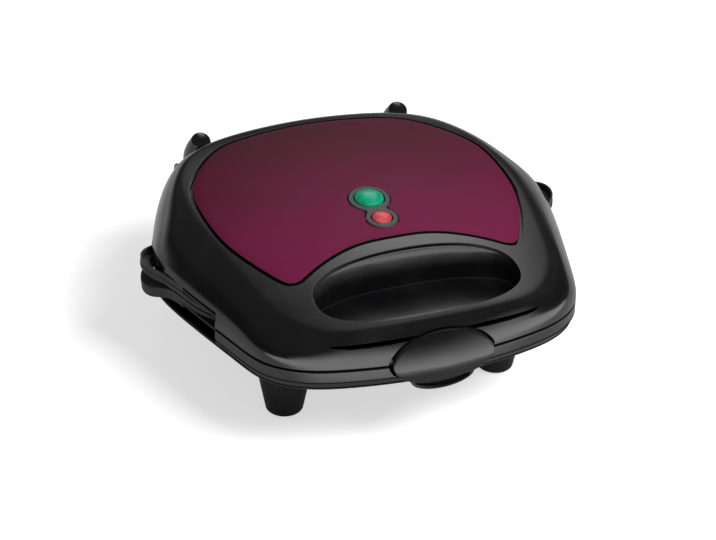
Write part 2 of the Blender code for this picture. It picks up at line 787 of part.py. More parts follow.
def half_pivot(half):
    return "lid_pivot" if half == "upper" else None


def level_slab(kit, name, outlines, half, near, far):
    """A slab between two depths from the parting plane."""
    heights = sorted((mirrored_height(half, near), mirrored_height(half, far)))
    return kit.slab(name, outlines, *heights)


def level_box(kit, name, half, low, high, near, far):
    heights = sorted((mirrored_height(half, near), mirrored_height(half, far)))
    return kit.box(name, (*low, heights[0]), (*high, heights[1]))


def screw_places():
    for row, (across, along) in (("front", FRONT_SCREW_shares), ("rear", REAR_SCREW_shares)):
        y = along * (REAR_REACH if along > 0 else FRONT_REACH)
        for side, x in both_sides(across * HALF_WIDTH):
            yield f"{row}_{side}", x, y


def latch_window(kit, name):
    """The oval hole in both casings that the latch sits in."""
    places = []
    for i in range(LATCH_POINTS):
        turn = math.tau * i / LATCH_POINTS
        x = (LATCH_HALF_WIDTH + LATCH_GAP) * math.cos(turn)
        z = LATCH_MIDDLE + (LATCH_HALF_HEIGHT + LATCH_GAP) * math.sin(turn)
        places.append((x, z))
    return kit.front_slab(name, places, -FRONT_REACH - OVERRUN, WINDOW_DEPTH)


def screw_bores(kit, half):
    """Blind holes in the bosses for the frame's screws."""
    found = []
    heights = sorted((
        mirrored_height(half, FRAME_DEPTH),
        mirrored_height(half, FRAME_DEPTH + SCREW_LENGTH + CLEARANCE),
    ))
    for name, x, y in screw_places():
        start, end = ((x, y, height) for height in heights)
        found.append(kit.rod(f"{half}_bore_{name}", start, end, SCREW_RADIUS + CLEARANCE, SMALL_STEPS))
    return found


def latch_bores(kit, name):
    reach = LATCH_CHEEK_INNER + LATCH_CHEEK_THICK + OVERRUN
    return kit.rod(
        name,
        (-reach, LATCH_PIVOT_Y, LATCH_PIVOT_Z),
        (reach, LATCH_PIVOT_Y, LATCH_PIVOT_Z),
        LATCH_PIN_RADIUS + CLEARANCE,
        ROUND_STEPS // 2,
    )


def hinge_y():
    return REAR_REACH + HINGE_OVERHANG


def hinge_bore(kit, name, x, radius):
    reach = KNUCKLE_WIDTH / 2 + CHEEK_THICK + OVERRUN
    y = hinge_y()
    return kit.rod(name, (x - reach, y, HINGE_HEIGHT), (x + reach, y, HINGE_HEIGHT), radius)


def peg(kit, side, x):
    """A rounded rear peg that runs down into the lid's hinge knuckle."""
    points = []
    scales = []
    top = crown(x, PEG_TIP_BACK) - PEG_TIP_SINK
    for back, down in PEG_shares:
        y = PEG_TIP_BACK + (hinge_y() - PEG_TIP_BACK) * back
        z = top + (HINGE_HEIGHT - top) * down
        points.append((x, y, z))
        scales.append((PEG_TIP_RADIUS + (PEG_RADIUS - PEG_TIP_RADIUS) * min(1.0, 2 * back)) / PEG_RADIUS)
    arm = kit.tube(f"peg_arm_{side}", points, PEG_RADIUS, PEG_SIDES, scales)
    bm = bmesh.new()
    bmesh.ops.create_uvsphere(bm, u_segments=PEG_TIP_STEPS, v_segments=PEG_TIP_STEPS // 2, radius=PEG_TIP_RADIUS)
    bmesh.ops.translate(bm, vec=points[0], verts=bm.verts)
    tip = kit.from_bmesh(f"peg_tip_{side}", bm)
    half = KNUCKLE_WIDTH / 2
    y = hinge_y()
    knuckle = kit.rod(
        f"knuckle_{side}", (x - half, y, HINGE_HEIGHT), (x + half, y, HINGE_HEIGHT), KNUCKLE_RADIUS
    )
    return kit.join(knuckle, arm, tip)


def lid_posts(kit):
    """What stands inside the lid: the well's walls, screw bosses, reflector posts and latch cheeks."""
    found = [kit.loft("well_block", well_rings(WALL, WELL_FLOOR - WALL, 0.0))]
    low = mirrored_height("upper", FRAME_DEPTH + FRAME_THICK + CLEARANCE)
    for name, x, y in screw_places():
        found.append(kit.rod(f"lid_boss_{name}", (x, y, low), (x, y, PEAK_HEIGHT), BOSS_RADIUS, POST_STEPS))
    low = mirrored_height("upper", PAN_DEPTH + PAN_THICK + CLEARANCE)
    for row, y in (("front", POST_FRONT), ("rear", POST_BACK)):
        for side, x in both_sides(POST_SPREAD):
            found.append(kit.rod(f"lid_post_{row}_{side}", (x, y, low), (x, y, PEAK_HEIGHT), POST_RADIUS, POST_STEPS))
    return found


def latch_cheeks(kit):
    """Round-nosed cheeks on the well's front wall, which carry the latch's pin."""
    back = WELL_MIDDLE - WELL_FRONT + WELL_ROUND
    profile = []
    for i in range(CHEEK_STEPS + 1):
        turn = math.pi * (0.5 + i / CHEEK_STEPS)
        y = LATCH_PIVOT_Y + LATCH_CHEEK_RADIUS * math.cos(turn)
        profile.append((y, LATCH_PIVOT_Z + LATCH_CHEEK_RADIUS * math.sin(turn)))
    profile += [(back, LATCH_PIVOT_Z - LATCH_CHEEK_RADIUS), (back, LATCH_PIVOT_Z + LATCH_CHEEK_RADIUS)]
    found = []
    for side, x in both_sides(LATCH_CHEEK_INNER + LATCH_CHEEK_THICK / 2):
        half = LATCH_CHEEK_THICK / 2
        found.append(kit.side_slab(f"latch_cheek_{side}", profile, x - half, x + half))
    return found


def lens_seats(kit):
    """Round holes through the top of the lid for the two lens stems."""
    found = []
    for name, y, radius in (("green", GREEN_BACK, GREEN_RADIUS), ("red", RED_BACK, RED_RADIUS)):
        frame = crown_frame(y)
        start = frame @ Vector((0.0, 0.0, -LENS_DEPTH))
        end = frame @ Vector((0.0, 0.0, OVERRUN))
        found.append(kit.rod(f"{name}_seat", start, end, radius - LENS_WALL + CLEARANCE))
    return found


def side_notches(kit, half):
    """Cutters for the gap that the plate lugs stand out of."""
    found = []
    rise = NOTCH_RISE if half == "upper" else NOTCH_DROP
    for side, sign in both_sides(1.0):
        xs = sorted((sign * NOTCH_INNER, sign * (HALF_WIDTH + OVERRUN)))
        low, high = (xs[0], NOTCH_FRONT), (xs[1], NOTCH_BACK)
        found.append(level_box(kit, f"{half}_notch_{side}", half, low, high, -OVERRUN / 2, rise))
    return found


def upper_casing(kit):
    drop = TRIM_RECESS + WALL
    casing = kit.loft("upper_casing", lid_rings(0.0, 0.0, 0.0), end=(0.0, PEAK_BACK, PEAK_HEIGHT))
    lining = lid_rings(WALL, drop, OVERRUN, LINING_shares, LINING_TOP_shares)
    cavity = kit.loft("lid_cavity", lining, end=(0.0, PEAK_BACK, PEAK_HEIGHT - drop))
    kit.cut(cavity, *lid_posts(kit))
    kit.join(casing, *(peg(kit, side, x) for side, x in both_sides(HINGE_SPREAD)))
    kit.cut(casing, cavity)
    groove = inset(trim_loop(), -TRIM_GROOVE)
    kit.cut(casing, crowned_slab(kit, "trim_recess", groove, -TRIM_RECESS, OVERRUN))
    kit.cut(casing, latch_window(kit, "lid_window"))
    kit.join(casing, *latch_cheeks(kit))
    kit.cut(casing, kit.loft("well", well_rings(0.0, WELL_FLOOR, OVERRUN)))
    kit.cut(casing, *lens_seats(kit), *side_notches(kit, "upper"), *screw_bores(kit, "upper"))
    kit.cut(casing, latch_bores(kit, "latch_bore"))
    for side, x in both_sides(HINGE_SPREAD):
        kit.cut(casing, hinge_bore(kit, f"knuckle_bore_{side}", x, HINGE_PIN_RADIUS + CLEARANCE))
    kit.keep(casing, BLACK, "lid_pivot")


def hinge_lug(kit, side, x):
    """Two cheeks on a bridge, at the back of the base."""
    y = hinge_y()
    arc = []
    for i in range(LUG_ARC_STEPS + 1):
        turn = LUG_ARC_START + (math.pi - LUG_ARC_START) * i / LUG_ARC_STEPS
        arc.append((y + KNUCKLE_RADIUS * math.cos(turn), HINGE_HEIGHT + KNUCKLE_RADIUS * math.sin(turn)))
    profile = [(LUG_ROOT, LUG_FOOT), (REAR_REACH - BOWL_ROUND, LUG_FOOT), *arc]
    profile += [(y - KNUCKLE_RADIUS, LUG_TOP), (LUG_ROOT, LUG_TOP)]
    inner = KNUCKLE_WIDTH / 2 + CHEEK_GAP
    outer = inner + CHEEK_THICK
    low = (x - inner - CHEEK_THICK / 2, LUG_ROOT, LUG_FOOT)
    high = (x + inner + CHEEK_THICK / 2, LUG_ROOT + LUG_BRIDGE, LUG_TOP - 2 * CHEEK_GAP)
    lug = kit.box(f"lug_bridge_{side}", low, high)
    kit.join(lug, kit.side_slab(f"lug_near_{side}", profile, x - outer, x - inner))
    return kit.join(lug, kit.side_slab(f"lug_far_{side}", profile, x + inner, x + outer))


def base_posts(kit):
    """What stands inside the base: screw bosses, reflector posts and the latch catch."""
    found = []
    high = mirrored_height("lower", FRAME_DEPTH + FRAME_THICK + CLEARANCE)
    for name, x, y in screw_places():
        found.append(kit.rod(f"base_boss_{name}", (x, y, 0.0), (x, y, high), BOSS_RADIUS, POST_STEPS))
    high = mirrored_height("lower", PAN_DEPTH + PAN_THICK + CLEARANCE)
    for row, y in (("front", POST_FRONT), ("rear", POST_BACK)):
        for side, x in both_sides(POST_SPREAD):
            found.append(kit.rod(f"base_post_{row}_{side}", (x, y, 0.0), (x, y, high), POST_RADIUS, POST_STEPS))
    for name, x, y in foot_places():
        end = BASE_FLOOR + FOOT_SCREW_END + CLEARANCE
        found.append(kit.rod(f"foot_boss_{name}", (x, y, 0.0), (x, y, end), FOOT_BOSS_RADIUS, POST_STEPS))
    top = PARTING - RIM_GAP / 2 - CLEARANCE
    half = NICHE_HALF
    low = (-half, NICHE_BACK, 0.0)
    found.append(kit.box("catch_wall", low, (half, NICHE_BACK + WALL, top)))
    for side, x in both_sides(half - WALL / 2):
        low = (x - WALL / 2, -FRONT_REACH, 0.0)
        high = (x + WALL / 2, NICHE_BACK + WALL / 2, top)
        found.append(kit.box(f"catch_side_{side}", low, high))
    low = (-CATCH_HALF, CATCH_FRONT, CATCH_BOTTOM)
    high = (CATCH_HALF, NICHE_BACK + WALL / 2, CATCH_BOTTOM + CATCH_THICK)
    found.append(kit.box("catch_bar", low, high))
    return found


def foot_places():
    for row, y in (("front", FOOT_FRONT), ("rear", FOOT_REAR)):
        for side, x in both_sides(FOOT_SPREAD):
            yield f"{row}_{side}", x, y


def vents(kit):
    found = []
    for i in range(VENT_COUNT):
        y = VENT_PITCH * (i - (VENT_COUNT - 1) / 2)
        low = (-VENT_LENGTH / 2, y - VENT_WIDTH / 2, BASE_FLOOR - OVERRUN)
        high = (VENT_LENGTH / 2, y + VENT_WIDTH / 2, BASE_FLOOR + OVERRUN)
        found.append(kit.box(f"vent_{i}", low, high))
    return found


def lower_casing(kit):
    top = PARTING - RIM_GAP / 2
    casing = kit.loft("lower_casing", base_rings(0.0, BASE_FLOOR, top))
    lining = base_rings(WALL, BASE_FLOOR + WALL, top + OVERRUN, BOWL_LINING_shares)
    cavity = kit.loft("base_cavity", lining)
    kit.cut(cavity, *base_posts(kit))
    kit.join(casing, *(hinge_lug(kit, side, x) for side, x in both_sides(HINGE_SPREAD)))
    start, end = (0.0, BOWL_REAR, CORD_HEIGHT), (0.0, REAR_REACH - MERGE, CORD_HEIGHT)
    kit.join(casing, kit.rod("cord_seat", start, end, CORD_SEAT))
    kit.cut(casing, cavity)
    kit.cut(casing, *side_notches(kit, "lower"), *screw_bores(kit, "lower"), *vents(kit))
    kit.cut(casing, latch_window(kit, "base_window"), lip_slab(kit, "lip_gap", LATCH_GAP, LATCH_GAP))
    for name, x, y in foot_places():
        high = BASE_FLOOR + FOOT_SCREW_END + CLEARANCE + OVERRUN
        kit.cut(casing, kit.rod(f"foot_bore_{name}", (x, y, 0.0), (x, y, high), FOOT_SCREW_RADIUS + CLEARANCE, SMALL_STEPS))
    for side, x in both_sides(HINGE_SPREAD):
        kit.cut(casing, hinge_bore(kit, f"lug_bore_{side}", x, HINGE_PIN_RADIUS + CLEARANCE))
    start = (0.0, REAR_REACH - CORD_NECK - WALL, CORD_HEIGHT)
    end = (0.0, REAR_REACH + OVERRUN, CORD_HEIGHT)
    kit.cut(casing, kit.rod("cord_hole", start, end, CORD_NECK + CLEARANCE))
    kit.keep(casing, BLACK)


def cord_inlet(kit):
    """A flanged bush in the back wall, bored for the cord."""
    neck_end = 2 * WALL
    profile = [
        (CORD_BORE, CORD_FLANGE_THICK),
        (CORD_FLANGE, CORD_FLANGE_THICK),
        (CORD_FLANGE, 0.0),
        (CORD_NECK, 0.0),
        (CORD_NECK, -neck_end),
        (CORD_BORE, -neck_end),
    ]
    place = Matrix.Translation((0.0, REAR_REACH + CLEARANCE, CORD_HEIGHT)) @ Matrix.Rotation(-math.pi / 2, 4, "X")
    kit.keep(kit.turned("cord_inlet", profile, closed=True, place=place), RUBBER)


def hinge_pins(kit):
    for side, x in both_sides(HINGE_SPREAD):
        outward = math.copysign(1.0, x)
        span = KNUCKLE_WIDTH / 2 + CHEEK_GAP + CHEEK_THICK + CLEARANCE
        profile = [
            (0.0, span + HINGE_PIN_HEAD_THICK),
            (HINGE_PIN_HEAD, span + HINGE_PIN_HEAD_THICK),
            (HINGE_PIN_HEAD, span),
            (HINGE_PIN_RADIUS, span),
            (HINGE_PIN_RADIUS, -span),
            (0.0, -span),
        ]
        place = Matrix.Translation((x, hinge_y(), HINGE_HEIGHT))
        place = place @ Matrix.Rotation(outward * math.pi / 2, 4, "Y")
        kit.keep(kit.turned(f"hinge_pin_{side}", profile, place=place), STEEL)


def trim_loop():
    return symmetric_loop(TRIM_shares, TRIM_HALF_WIDTH, TRIM_FRONT, TRIM_REAR)


def bezel_solid(kit, name, grow, low, high):
    """A figure of eight round both lamps, square to the crown between them."""
    reach = (GREEN_BACK - RED_BACK) / 2
    big = GREEN_RADIUS + BEZEL_MARGIN + grow
    small = RED_RADIUS + BEZEL_MARGIN + grow
    waist = (4 * reach**2 + big**2 - small**2) / (4 * reach)
    places = []
    for centre, radius, away, sign in ((reach, big, waist, 1), (-reach, small, 2 * reach - waist, -1)):
        neck = math.acos(away / radius)
        for i in range(BEZEL_STEPS + 1):
            turn = neck + (math.tau - 2 * neck) * i / BEZEL_STEPS
            x, y = radius * math.sin(turn), centre - radius * math.cos(turn)
            if sign < 0:
                x, y = -x, centre + radius * math.cos(turn)
            places.append(Vector((x, y)))
    loop = [place for i, place in enumerate(places) if (place - places[i - 1]).length > MERGE]
    return kit.slab(name, [loop], low, high, crown_frame((GREEN_BACK + RED_BACK) / 2))


def trim_plate(kit):
    plate = crowned_slab(kit, "trim_plate", trim_loop(), CLEARANCE - TRIM_RECESS, 0.0)
    kit.cut(plate, bezel_solid(kit, "bezel_hole", BEZEL_GROOVE, -TRIM_RECESS - OVERRUN, OVERRUN))
    kit.keep(plate, MAROON, "lid_pivot")


def bezel(kit):
    ring = bezel_solid(kit, "lamp_bezel", 0.0, 2 * CLEARANCE - TRIM_RECESS, BEZEL_PROUD)
    for colour, y, radius in (("green", GREEN_BACK, GREEN_RADIUS), ("red", RED_BACK, RED_RADIUS)):
        frame = crown_frame(y)
        start, end = (frame @ Vector((0.0, 0.0, height)) for height in (-OVERRUN, OVERRUN))
        kit.cut(ring, kit.rod(f"bezel_eye_{colour}", start, end, radius + CLEARANCE))
    kit.keep(ring, GREY, "lid_pivot")


def lens(kit, colour, y, radius, finish):
    """A domed lens on a hollow stem, which holds the neon lamp."""
    stem = radius - LENS_WALL
    bore = LAMP_RADIUS + CLEARANCE
    dome = DOME_share * radius
    profile = []
    for i in range(DOME_STEPS + 1):
        turn = math.pi / 2 * i / DOME_STEPS
        profile.append((radius * math.sin(turn), BEZEL_PROUD + dome * math.cos(turn)))
    shoulder = CLEARANCE - TRIM_RECESS
    profile += [(radius, shoulder), (stem, shoulder), (stem, -LENS_DEPTH), (bore, -LENS_DEPTH)]
    profile += [(bore, BEZEL_PROUD - LENS_WALL / 2), (0.0, BEZEL_PROUD - LENS_WALL / 2)]
    obj = kit.turned(f"{colour}_lens", profile, place=crown_frame(y))
    kit.keep(obj, finish, "lid_pivot")


def lamp(kit, colour, y):
    top = BEZEL_PROUD - LAMP_SET_BACK
    end = LAMP_RADIUS / 2
    profile = [(0.0, top), (LAMP_RADIUS - end, top - end / 3), (LAMP_RADIUS, top - end)]
    profile += [(LAMP_RADIUS, top - LAMP_LENGTH), (0.0, top - LAMP_LENGTH)]
    kit.keep(kit.turned(f"{colour}_lamp", profile, LAMP_STEPS, place=crown_frame(y)), LAMP_GLASS, "lid_pivot")


def lamp_holder(kit):
    """A bracket under both lamps, with a leg at each end up to the top of the lid."""
    middle = (GREEN_BACK + RED_BACK) / 2
    reach = (GREEN_BACK - RED_BACK) / 2 + GREEN_RADIUS + BEZEL_MARGIN + HOLDER_LEG
    top = BEZEL_PROUD - LAMP_SET_BACK - LAMP_LENGTH - CLEARANCE
    roof = -TRIM_RECESS - WALL - HOLDER_SEAT - reach**2 / (2 * CROWN_RADIUS)
    profile = [
        (-reach, top - HOLDER_THICK), (reach, top - HOLDER_THICK), (reach, roof), (reach - HOLDER_LEG, roof),
        (reach - HOLDER_LEG, top), (HOLDER_LEG - reach, top), (HOLDER_LEG - reach, roof), (-reach, roof),
    ]
    half = HOLDER_WIDTH / 2
    holder = kit.side_slab("lamp_holder", profile, -half, half, crown_frame(middle))
    kit.keep(holder, HEATPROOF, "lid_pivot")


def frame_screws(kit, half):
    """Pan-head screws that hold a frame to its casing's bosses."""
    sign = 1.0 if half == "upper" else -1.0
    for name, x, y in screw_places():
        profile = [
            (0.0, SCREW_HEAD_HEIGHT),
            (SCREW_HEAD / 2, SCREW_HEAD_HEIGHT),
            (SCREW_HEAD, SCREW_HEAD_HEIGHT / 3),
            (SCREW_HEAD, CLEARANCE),
            (SCREW_RADIUS, CLEARANCE),
            (SCREW_RADIUS, -SCREW_LENGTH),
            (0.0, -SCREW_LENGTH),
        ]
        place = Matrix.Translation((x, y, mirrored_height(half, FRAME_DEPTH)))
        if sign > 0:
            place = place @ Matrix.Rotation(math.pi, 4, "X")
        obj = kit.turned(f"{half}_screw_{name}", profile, SMALL_STEPS, place=place)
        kit.keep(obj, STEEL, half_pivot(half))


def frame(kit, half):
    """The panel round a cooking plate, with its rear tongue and the clip's slot."""
    name = f"{half}_frame"
    outer = inset(rim_loop(), WALL + FRAME_CLEARANCE)
    opening = plate_loop(-FRAME_LEDGE)
    far = FRAME_DEPTH + FRAME_THICK
    panel = level_slab(kit, name, [outer, opening], half, FRAME_DEPTH, far)
    rear = PLATE_BACK + STEP_CLEARANCE
    tongue_top = PLATE_GAP + CLEARANCE
    body = level_box(
        kit, f"{half}_tongue_body", half,
        (-TONGUE_HALF, rear), (TONGUE_HALF, rear + TONGUE_BODY), tongue_top, FRAME_DEPTH + FRAME_THICK / 2,
    )
    hook = level_box(
        kit, f"{half}_tongue", half,
        (-TONGUE_HALF, rear - TONGUE_REACH), (TONGUE_HALF, rear + TONGUE_REACH),
        tongue_top, tongue_top + TONGUE_THICK,
    )
    kit.join(panel, kit.join(body, hook))
    mouth = level_box(
        kit, f"{half}_latch_mouth", half,
        (-FRAME_CUT_HALF, -FRONT_REACH), (FRAME_CUT_HALF, FRAME_FRONT_CUT), FRAME_DEPTH - OVERRUN, far + OVERRUN,
    )
    front = clip_middle()
    slot = level_box(
        kit, f"{half}_clip_slot", half,
        (-CLIP_NECK_HALF - CLEARANCE, front - CLIP_NECK_LENGTH / 2 - CLIP_TRAVEL - CLEARANCE),
        (CLIP_NECK_HALF + CLEARANCE, front + CLIP_NECK_LENGTH / 2 + CLEARANCE),
        FRAME_DEPTH - OVERRUN, far + OVERRUN,
    )
    for side, sign in both_sides(1.0):
        xs = sorted((sign * (EAR_BEND - FRAME_LEDGE / 2), sign * HALF_WIDTH))
        kit.cut(panel, level_box(
            kit, f"{half}_lug_gap_{side}", half,
            (xs[0], NOTCH_FRONT), (xs[1], NOTCH_BACK), FRAME_DEPTH - OVERRUN, far + OVERRUN,
        ))
    kit.cut(panel, mouth, slot)
    for place, x, y in screw_places():
        heights = sorted((mirrored_height(half, FRAME_DEPTH - OVERRUN), mirrored_height(half, far + OVERRUN)))
        hole = kit.rod(f"{half}_hole_{place}", (x, y, heights[0]), (x, y, heights[1]), SCREW_RADIUS + CLEARANCE, SMALL_STEPS)
        kit.cut(panel, hole)
    kit.keep(panel, HEATPROOF, half_pivot(half))


def clip_middle():
    return PLATE_FRONT - STEP_CLEARANCE - CLIP_BODY / 2


def clip(kit, half):
    """A clip that slides on the frame, with a tongue over the plate and a keeper under the frame."""
    back = PLATE_FRONT - STEP_CLEARANCE
    top = PLATE_GAP + CLEARANCE
    far = FRAME_DEPTH + FRAME_THICK + CLEARANCE
    middle = clip_middle()
    body = level_box(
        kit, f"{half}_plate_clip", half,
        (-CLIP_HALF, back - CLIP_BODY), (CLIP_HALF, back), top, FRAME_DEPTH - CLEARANCE,
    )
    tongue = level_box(
        kit, f"{half}_clip_tongue", half,
        (-CLIP_HALF, back - TONGUE_REACH), (CLIP_HALF, back + TONGUE_REACH), top, top + TONGUE_THICK,
    )
    neck = level_box(
        kit, f"{half}_clip_neck", half,
        (-CLIP_NECK_HALF, middle - CLIP_NECK_LENGTH / 2), (CLIP_NECK_HALF, middle + CLIP_NECK_LENGTH / 2),
        FRAME_DEPTH - 2 * CLEARANCE, far + CLIP_KEEPER_THICK / 2,
    )
    keeper = level_box(
        kit, f"{half}_clip_keeper", half,
        (-CLIP_KEEPER_HALF, middle - CLIP_KEEPER_LENGTH / 2), (CLIP_KEEPER_HALF, middle + CLIP_KEEPER_LENGTH / 2),
        far, far + CLIP_KEEPER_THICK,
    )
    kit.join(body, tongue, neck, keeper)
    for i in range(CLIP_GRIPS):
        y = back - CLIP_BODY + 2 * CLIP_GRIP_WIDTH * (i + 1)
        kit.cut(body, level_box(
            kit, f"{half}_grip_{i}", half,
            (-CLIP_HALF / 2, y - CLIP_GRIP_WIDTH / 2), (CLIP_HALF / 2, y + CLIP_GRIP_WIDTH / 2),
            top - OVERRUN, top + CLIP_GRIP_DEPTH,
        ))
    kit.keep(body, HEATPROOF, f"{half}_clip_pivot")


def pocket_triangle(sign, corner, grow):
    """One triangular pocket's outline, its corners rounded, grown outwards by grow."""
    near, far = sign * POCKET_INNER, sign * POCKET_OUTER
    if corner == "front":
        points = [Vector((near, POCKET_FRONT)), Vector((far, POCKET_FRONT)), Vector((near, POCKET_BACK))]
    else:
        points = [Vector((far, POCKET_BACK)), Vector((near, POCKET_BACK)), Vector((far, POCKET_FRONT))]
    middle = sum(points, Vector((0.0, 0.0))) / 3
    lines = []
    for i, point in enumerate(points):
        there = points[(i + 1) % 3]
        along = (there - point).normalized()
        normal = Vector((along.y, -along.x))
        if (point - middle).dot(normal) < 0:
            normal = -normal
        shift = grow - (POCKET_LAND / 2 if abs(along.x * along.y) > MERGE else 0.0)
        lines.append((point + normal * shift, along))
    corners = []
    for i in range(3):
        (here, along), (there, across) = lines[i - 1], lines[i]
        t = (there - here).cross(across) / along.cross(across)
        corners.append(here + along * t)
    found = []
    for i, point in enumerate(corners):
        before, after = corners[i - 1], corners[(i + 1) % 3]
        reach = POCKET_CORNER
        start = point + (before - point).normalized() * reach
        end = point + (after - point).normalized() * reach
        for k in range(POCKET_STEPS + 1):
            t = k / POCKET_STEPS
            found.append(start * (1 - t) ** 2 + point * 2 * t * (1 - t) + end * t**2)
    return found


def pocket_solid(kit, name, half, sign, corner, grow, near, far):
    """A pocket's tapered solid, wide at the plate and narrow at its bottom."""
    rings = []
    for narrower, depth in ((0.0, near), (POCKET_SLOPE / 3, far - POCKET_SLOPE / 2), (POCKET_SLOPE, far)):
        height = mirrored_height(half, depth)
        rings.append([(*place, height) for place in pocket_triangle(sign, corner, grow - narrower)])
    return kit.loft(name, rings)


def ear(kit, half, side, sign):
    """A side lug with a turned edge, level by the plate and bent away from the other half."""
    length, depth = EAR_REACH - EAR_ROOT, EAR_BACK - EAR_FRONT
    outlines = []
    for shares in (EAR_shares, EAR_HOLE_shares):
        points = [(sign * (EAR_ROOT + x * length), EAR_FRONT + y * depth) for x, y in shares]
        outlines.append(closed_spline(points, EAR_STEPS))
    far = PLATE_GAP + PLATE_THICK
    lug = bent(level_slab(kit, f"{half}_ear_{side}", outlines, half, PLATE_GAP, far), half)
    edge = [inset(outlines[0], EAR_LIP_SETBACK), inset(outlines[0], EAR_LIP)]
    name = f"{half}_ear_lip_{side}"
    lip = bent(level_slab(kit, name, edge, half, far - PLATE_THICK / 2, far + EAR_LIP_HEIGHT), half)
    xs = sorted((sign * (EAR_BEND - FRAME_LEDGE / 2 + CLEARANCE), 0.0))
    plain = level_box(kit, f"{name}_end", half, (xs[0], -HALF_WIDTH), (xs[1], HALF_WIDTH), 0.0, PAN_DEPTH)
    return lug, kit.cut(lip, plain)


def bent(lug, half):
    """The lug, bent away from the parting plane beyond its bend."""
    bm = bmesh.new()
    bm.from_mesh(lug.data)
    for sign in (-1.0, 1.0):
        cut = bm.verts[:] + bm.edges[:] + bm.faces[:]
        bmesh.ops.bisect_plane(bm, geom=cut, dist=MERGE, plane_co=(sign * EAR_BEND, 0, 0), plane_no=(1, 0, 0))
    away = 1.0 if half == "upper" else -1.0
    for vert in bm.verts:
        beyond = max(0.0, abs(vert.co.x) - EAR_BEND) / (EAR_REACH - EAR_BEND)
        vert.co.z += away * EAR_FLARE * beyond
    bmesh.ops.recalc_face_normals(bm, faces=bm.faces)
    bm.to_mesh(lug.data)
    bm.free()
    return lug


def cooking_plate(kit, half):
    near, far = PLATE_GAP, PLATE_GAP + PLATE_THICK
    plate = level_slab(kit, f"{half}_cooking_plate", [plate_loop()], half, near, far)
    for side, sign in both_sides(1.0):
        kit.join(plate, *ear(kit, half, side, sign))
    pockets = [(side, sign, corner) for side, sign in both_sides(1.0) for corner in ("front", "back")]
    floor = near + POCKET_DEPTH
    for side, sign, corner in pockets:
        name = f"{half}_{side}_{corner}"
        bulge = pocket_solid(kit, f"{name}_bulge", half, sign, corner, POCKET_WALL, near + MERGE, floor + POCKET_WALL)
        kit.join(plate, bulge)
    for side, sign, corner in pockets:
        name = f"{half}_{side}_{corner}"
        kit.cut(plate, pocket_solid(kit, f"{name}_pocket", half, sign, corner, 0.0, near - MERGE, floor))
    step = near + 2 * CLEARANCE + TONGUE_THICK
    for name, low, high in (
        ("front", PLATE_FRONT - OVERRUN, PLATE_FRONT + TONGUE_REACH),
        ("rear", PLATE_BACK - TONGUE_REACH, PLATE_BACK + OVERRUN),
    ):
        wide = TONGUE_HALF + STEP_CLEARANCE
        kit.cut(plate, level_box(
            kit, f"{half}_step_{name}", half, (-wide, low), (wide, high), near - OVERRUN, step,
        ))
    kit.keep(plate, COATED, half_pivot(half))


def reflector(kit, half):
    """A pressed pan behind the element, its flange under the frame."""
    rings = []
    flange = FRAME_DEPTH + FRAME_THICK + CLEARANCE
    floor = PAN_DEPTH
    inner = -FRAME_LEDGE - CLEARANCE
    stations = (
        (PAN_FLOOR_share, inner, floor),
        (1.0, inner, flange),
        (1.0, PAN_FLANGE, flange),
        (1.0, PAN_FLANGE, flange + PAN_THICK),
        (1.0, inner + PAN_THICK, flange + PAN_THICK),
        (PAN_FLOOR_share, inner + PAN_THICK, floor + PAN_THICK),
    )
    for share, grow, depth in stations:
        height = mirrored_height(half, depth)
        ring = []
        for place in plate_loop(grow):
            ring.append((place.x * share, PLATE_MIDDLE + (place.y - PLATE_MIDDLE) * share, height))
        rings.append(ring)
    pan = kit.loft(f"{half}_reflector", rings)
    for side, x in both_sides(ELEMENT_TERMINAL):
        heights = sorted((mirrored_height(half, floor - OVERRUN), mirrored_height(half, floor + OVERRUN)))
        y = ELEMENT_BACK
        kit.cut(pan, kit.rod(f"{half}_tail_hole_{side}", (x, y, heights[0]), (x, y, heights[1]), ELEMENT_HOLE, POST_STEPS))
    kit.keep(pan, ALUMINIUM, half_pivot(half))


def element_depth():
    return PLATE_GAP + POCKET_DEPTH + POCKET_WALL + CLEARANCE + ELEMENT_RADIUS


def rounded_path(corners, radii, steps):
    """The path through the corners, each one rounded by its own radius."""
    found = [Vector(corners[0])]
    for before, here, after, radius in zip(corners, corners[1:], corners[2:], radii):
        before, here, after = Vector(before), Vector(here), Vector(after)
        start = here + (before - here).normalized() * min(radius, (before - here).length / 2)
        end = here + (after - here).normalized() * min(radius, (after - here).length / 2)
        for k in range(steps + 1):
            t = k / steps
            found.append(start * (1 - t) ** 2 + here * 2 * t * (1 - t) + end * t**2)
    found.append(Vector(corners[-1]))
    return found


def heating_element(kit, half):
    """A sheathed loop under the pockets, whose two tails go down through the reflector."""
    level = mirrored_height(half, element_depth())
    tail = mirrored_height(half, PAN_DEPTH + ELEMENT_TAIL)
    wide, inner = ELEMENT_HALF_WIDTH, ELEMENT_TERMINAL
    corners = [
        (-inner, ELEMENT_BACK, tail), (-inner, ELEMENT_BACK, level), (-wide, ELEMENT_BACK, level),
        (-wide, ELEMENT_FRONT, level), (wide, ELEMENT_FRONT, level), (wide, ELEMENT_BACK, level),
        (inner, ELEMENT_BACK, level), (inner, ELEMENT_BACK, tail),
    ]
    radii = [ELEMENT_TAIL_CORNER, *[ELEMENT_CORNER] * 4, ELEMENT_TAIL_CORNER]
    path = rounded_path(corners, radii, ELEMENT_CORNER_STEPS)
    element = kit.tube(f"{half}_heating_element", path, ELEMENT_RADIUS, ELEMENT_SIDES)
    kit.keep(element, SHEATH, half_pivot(half))


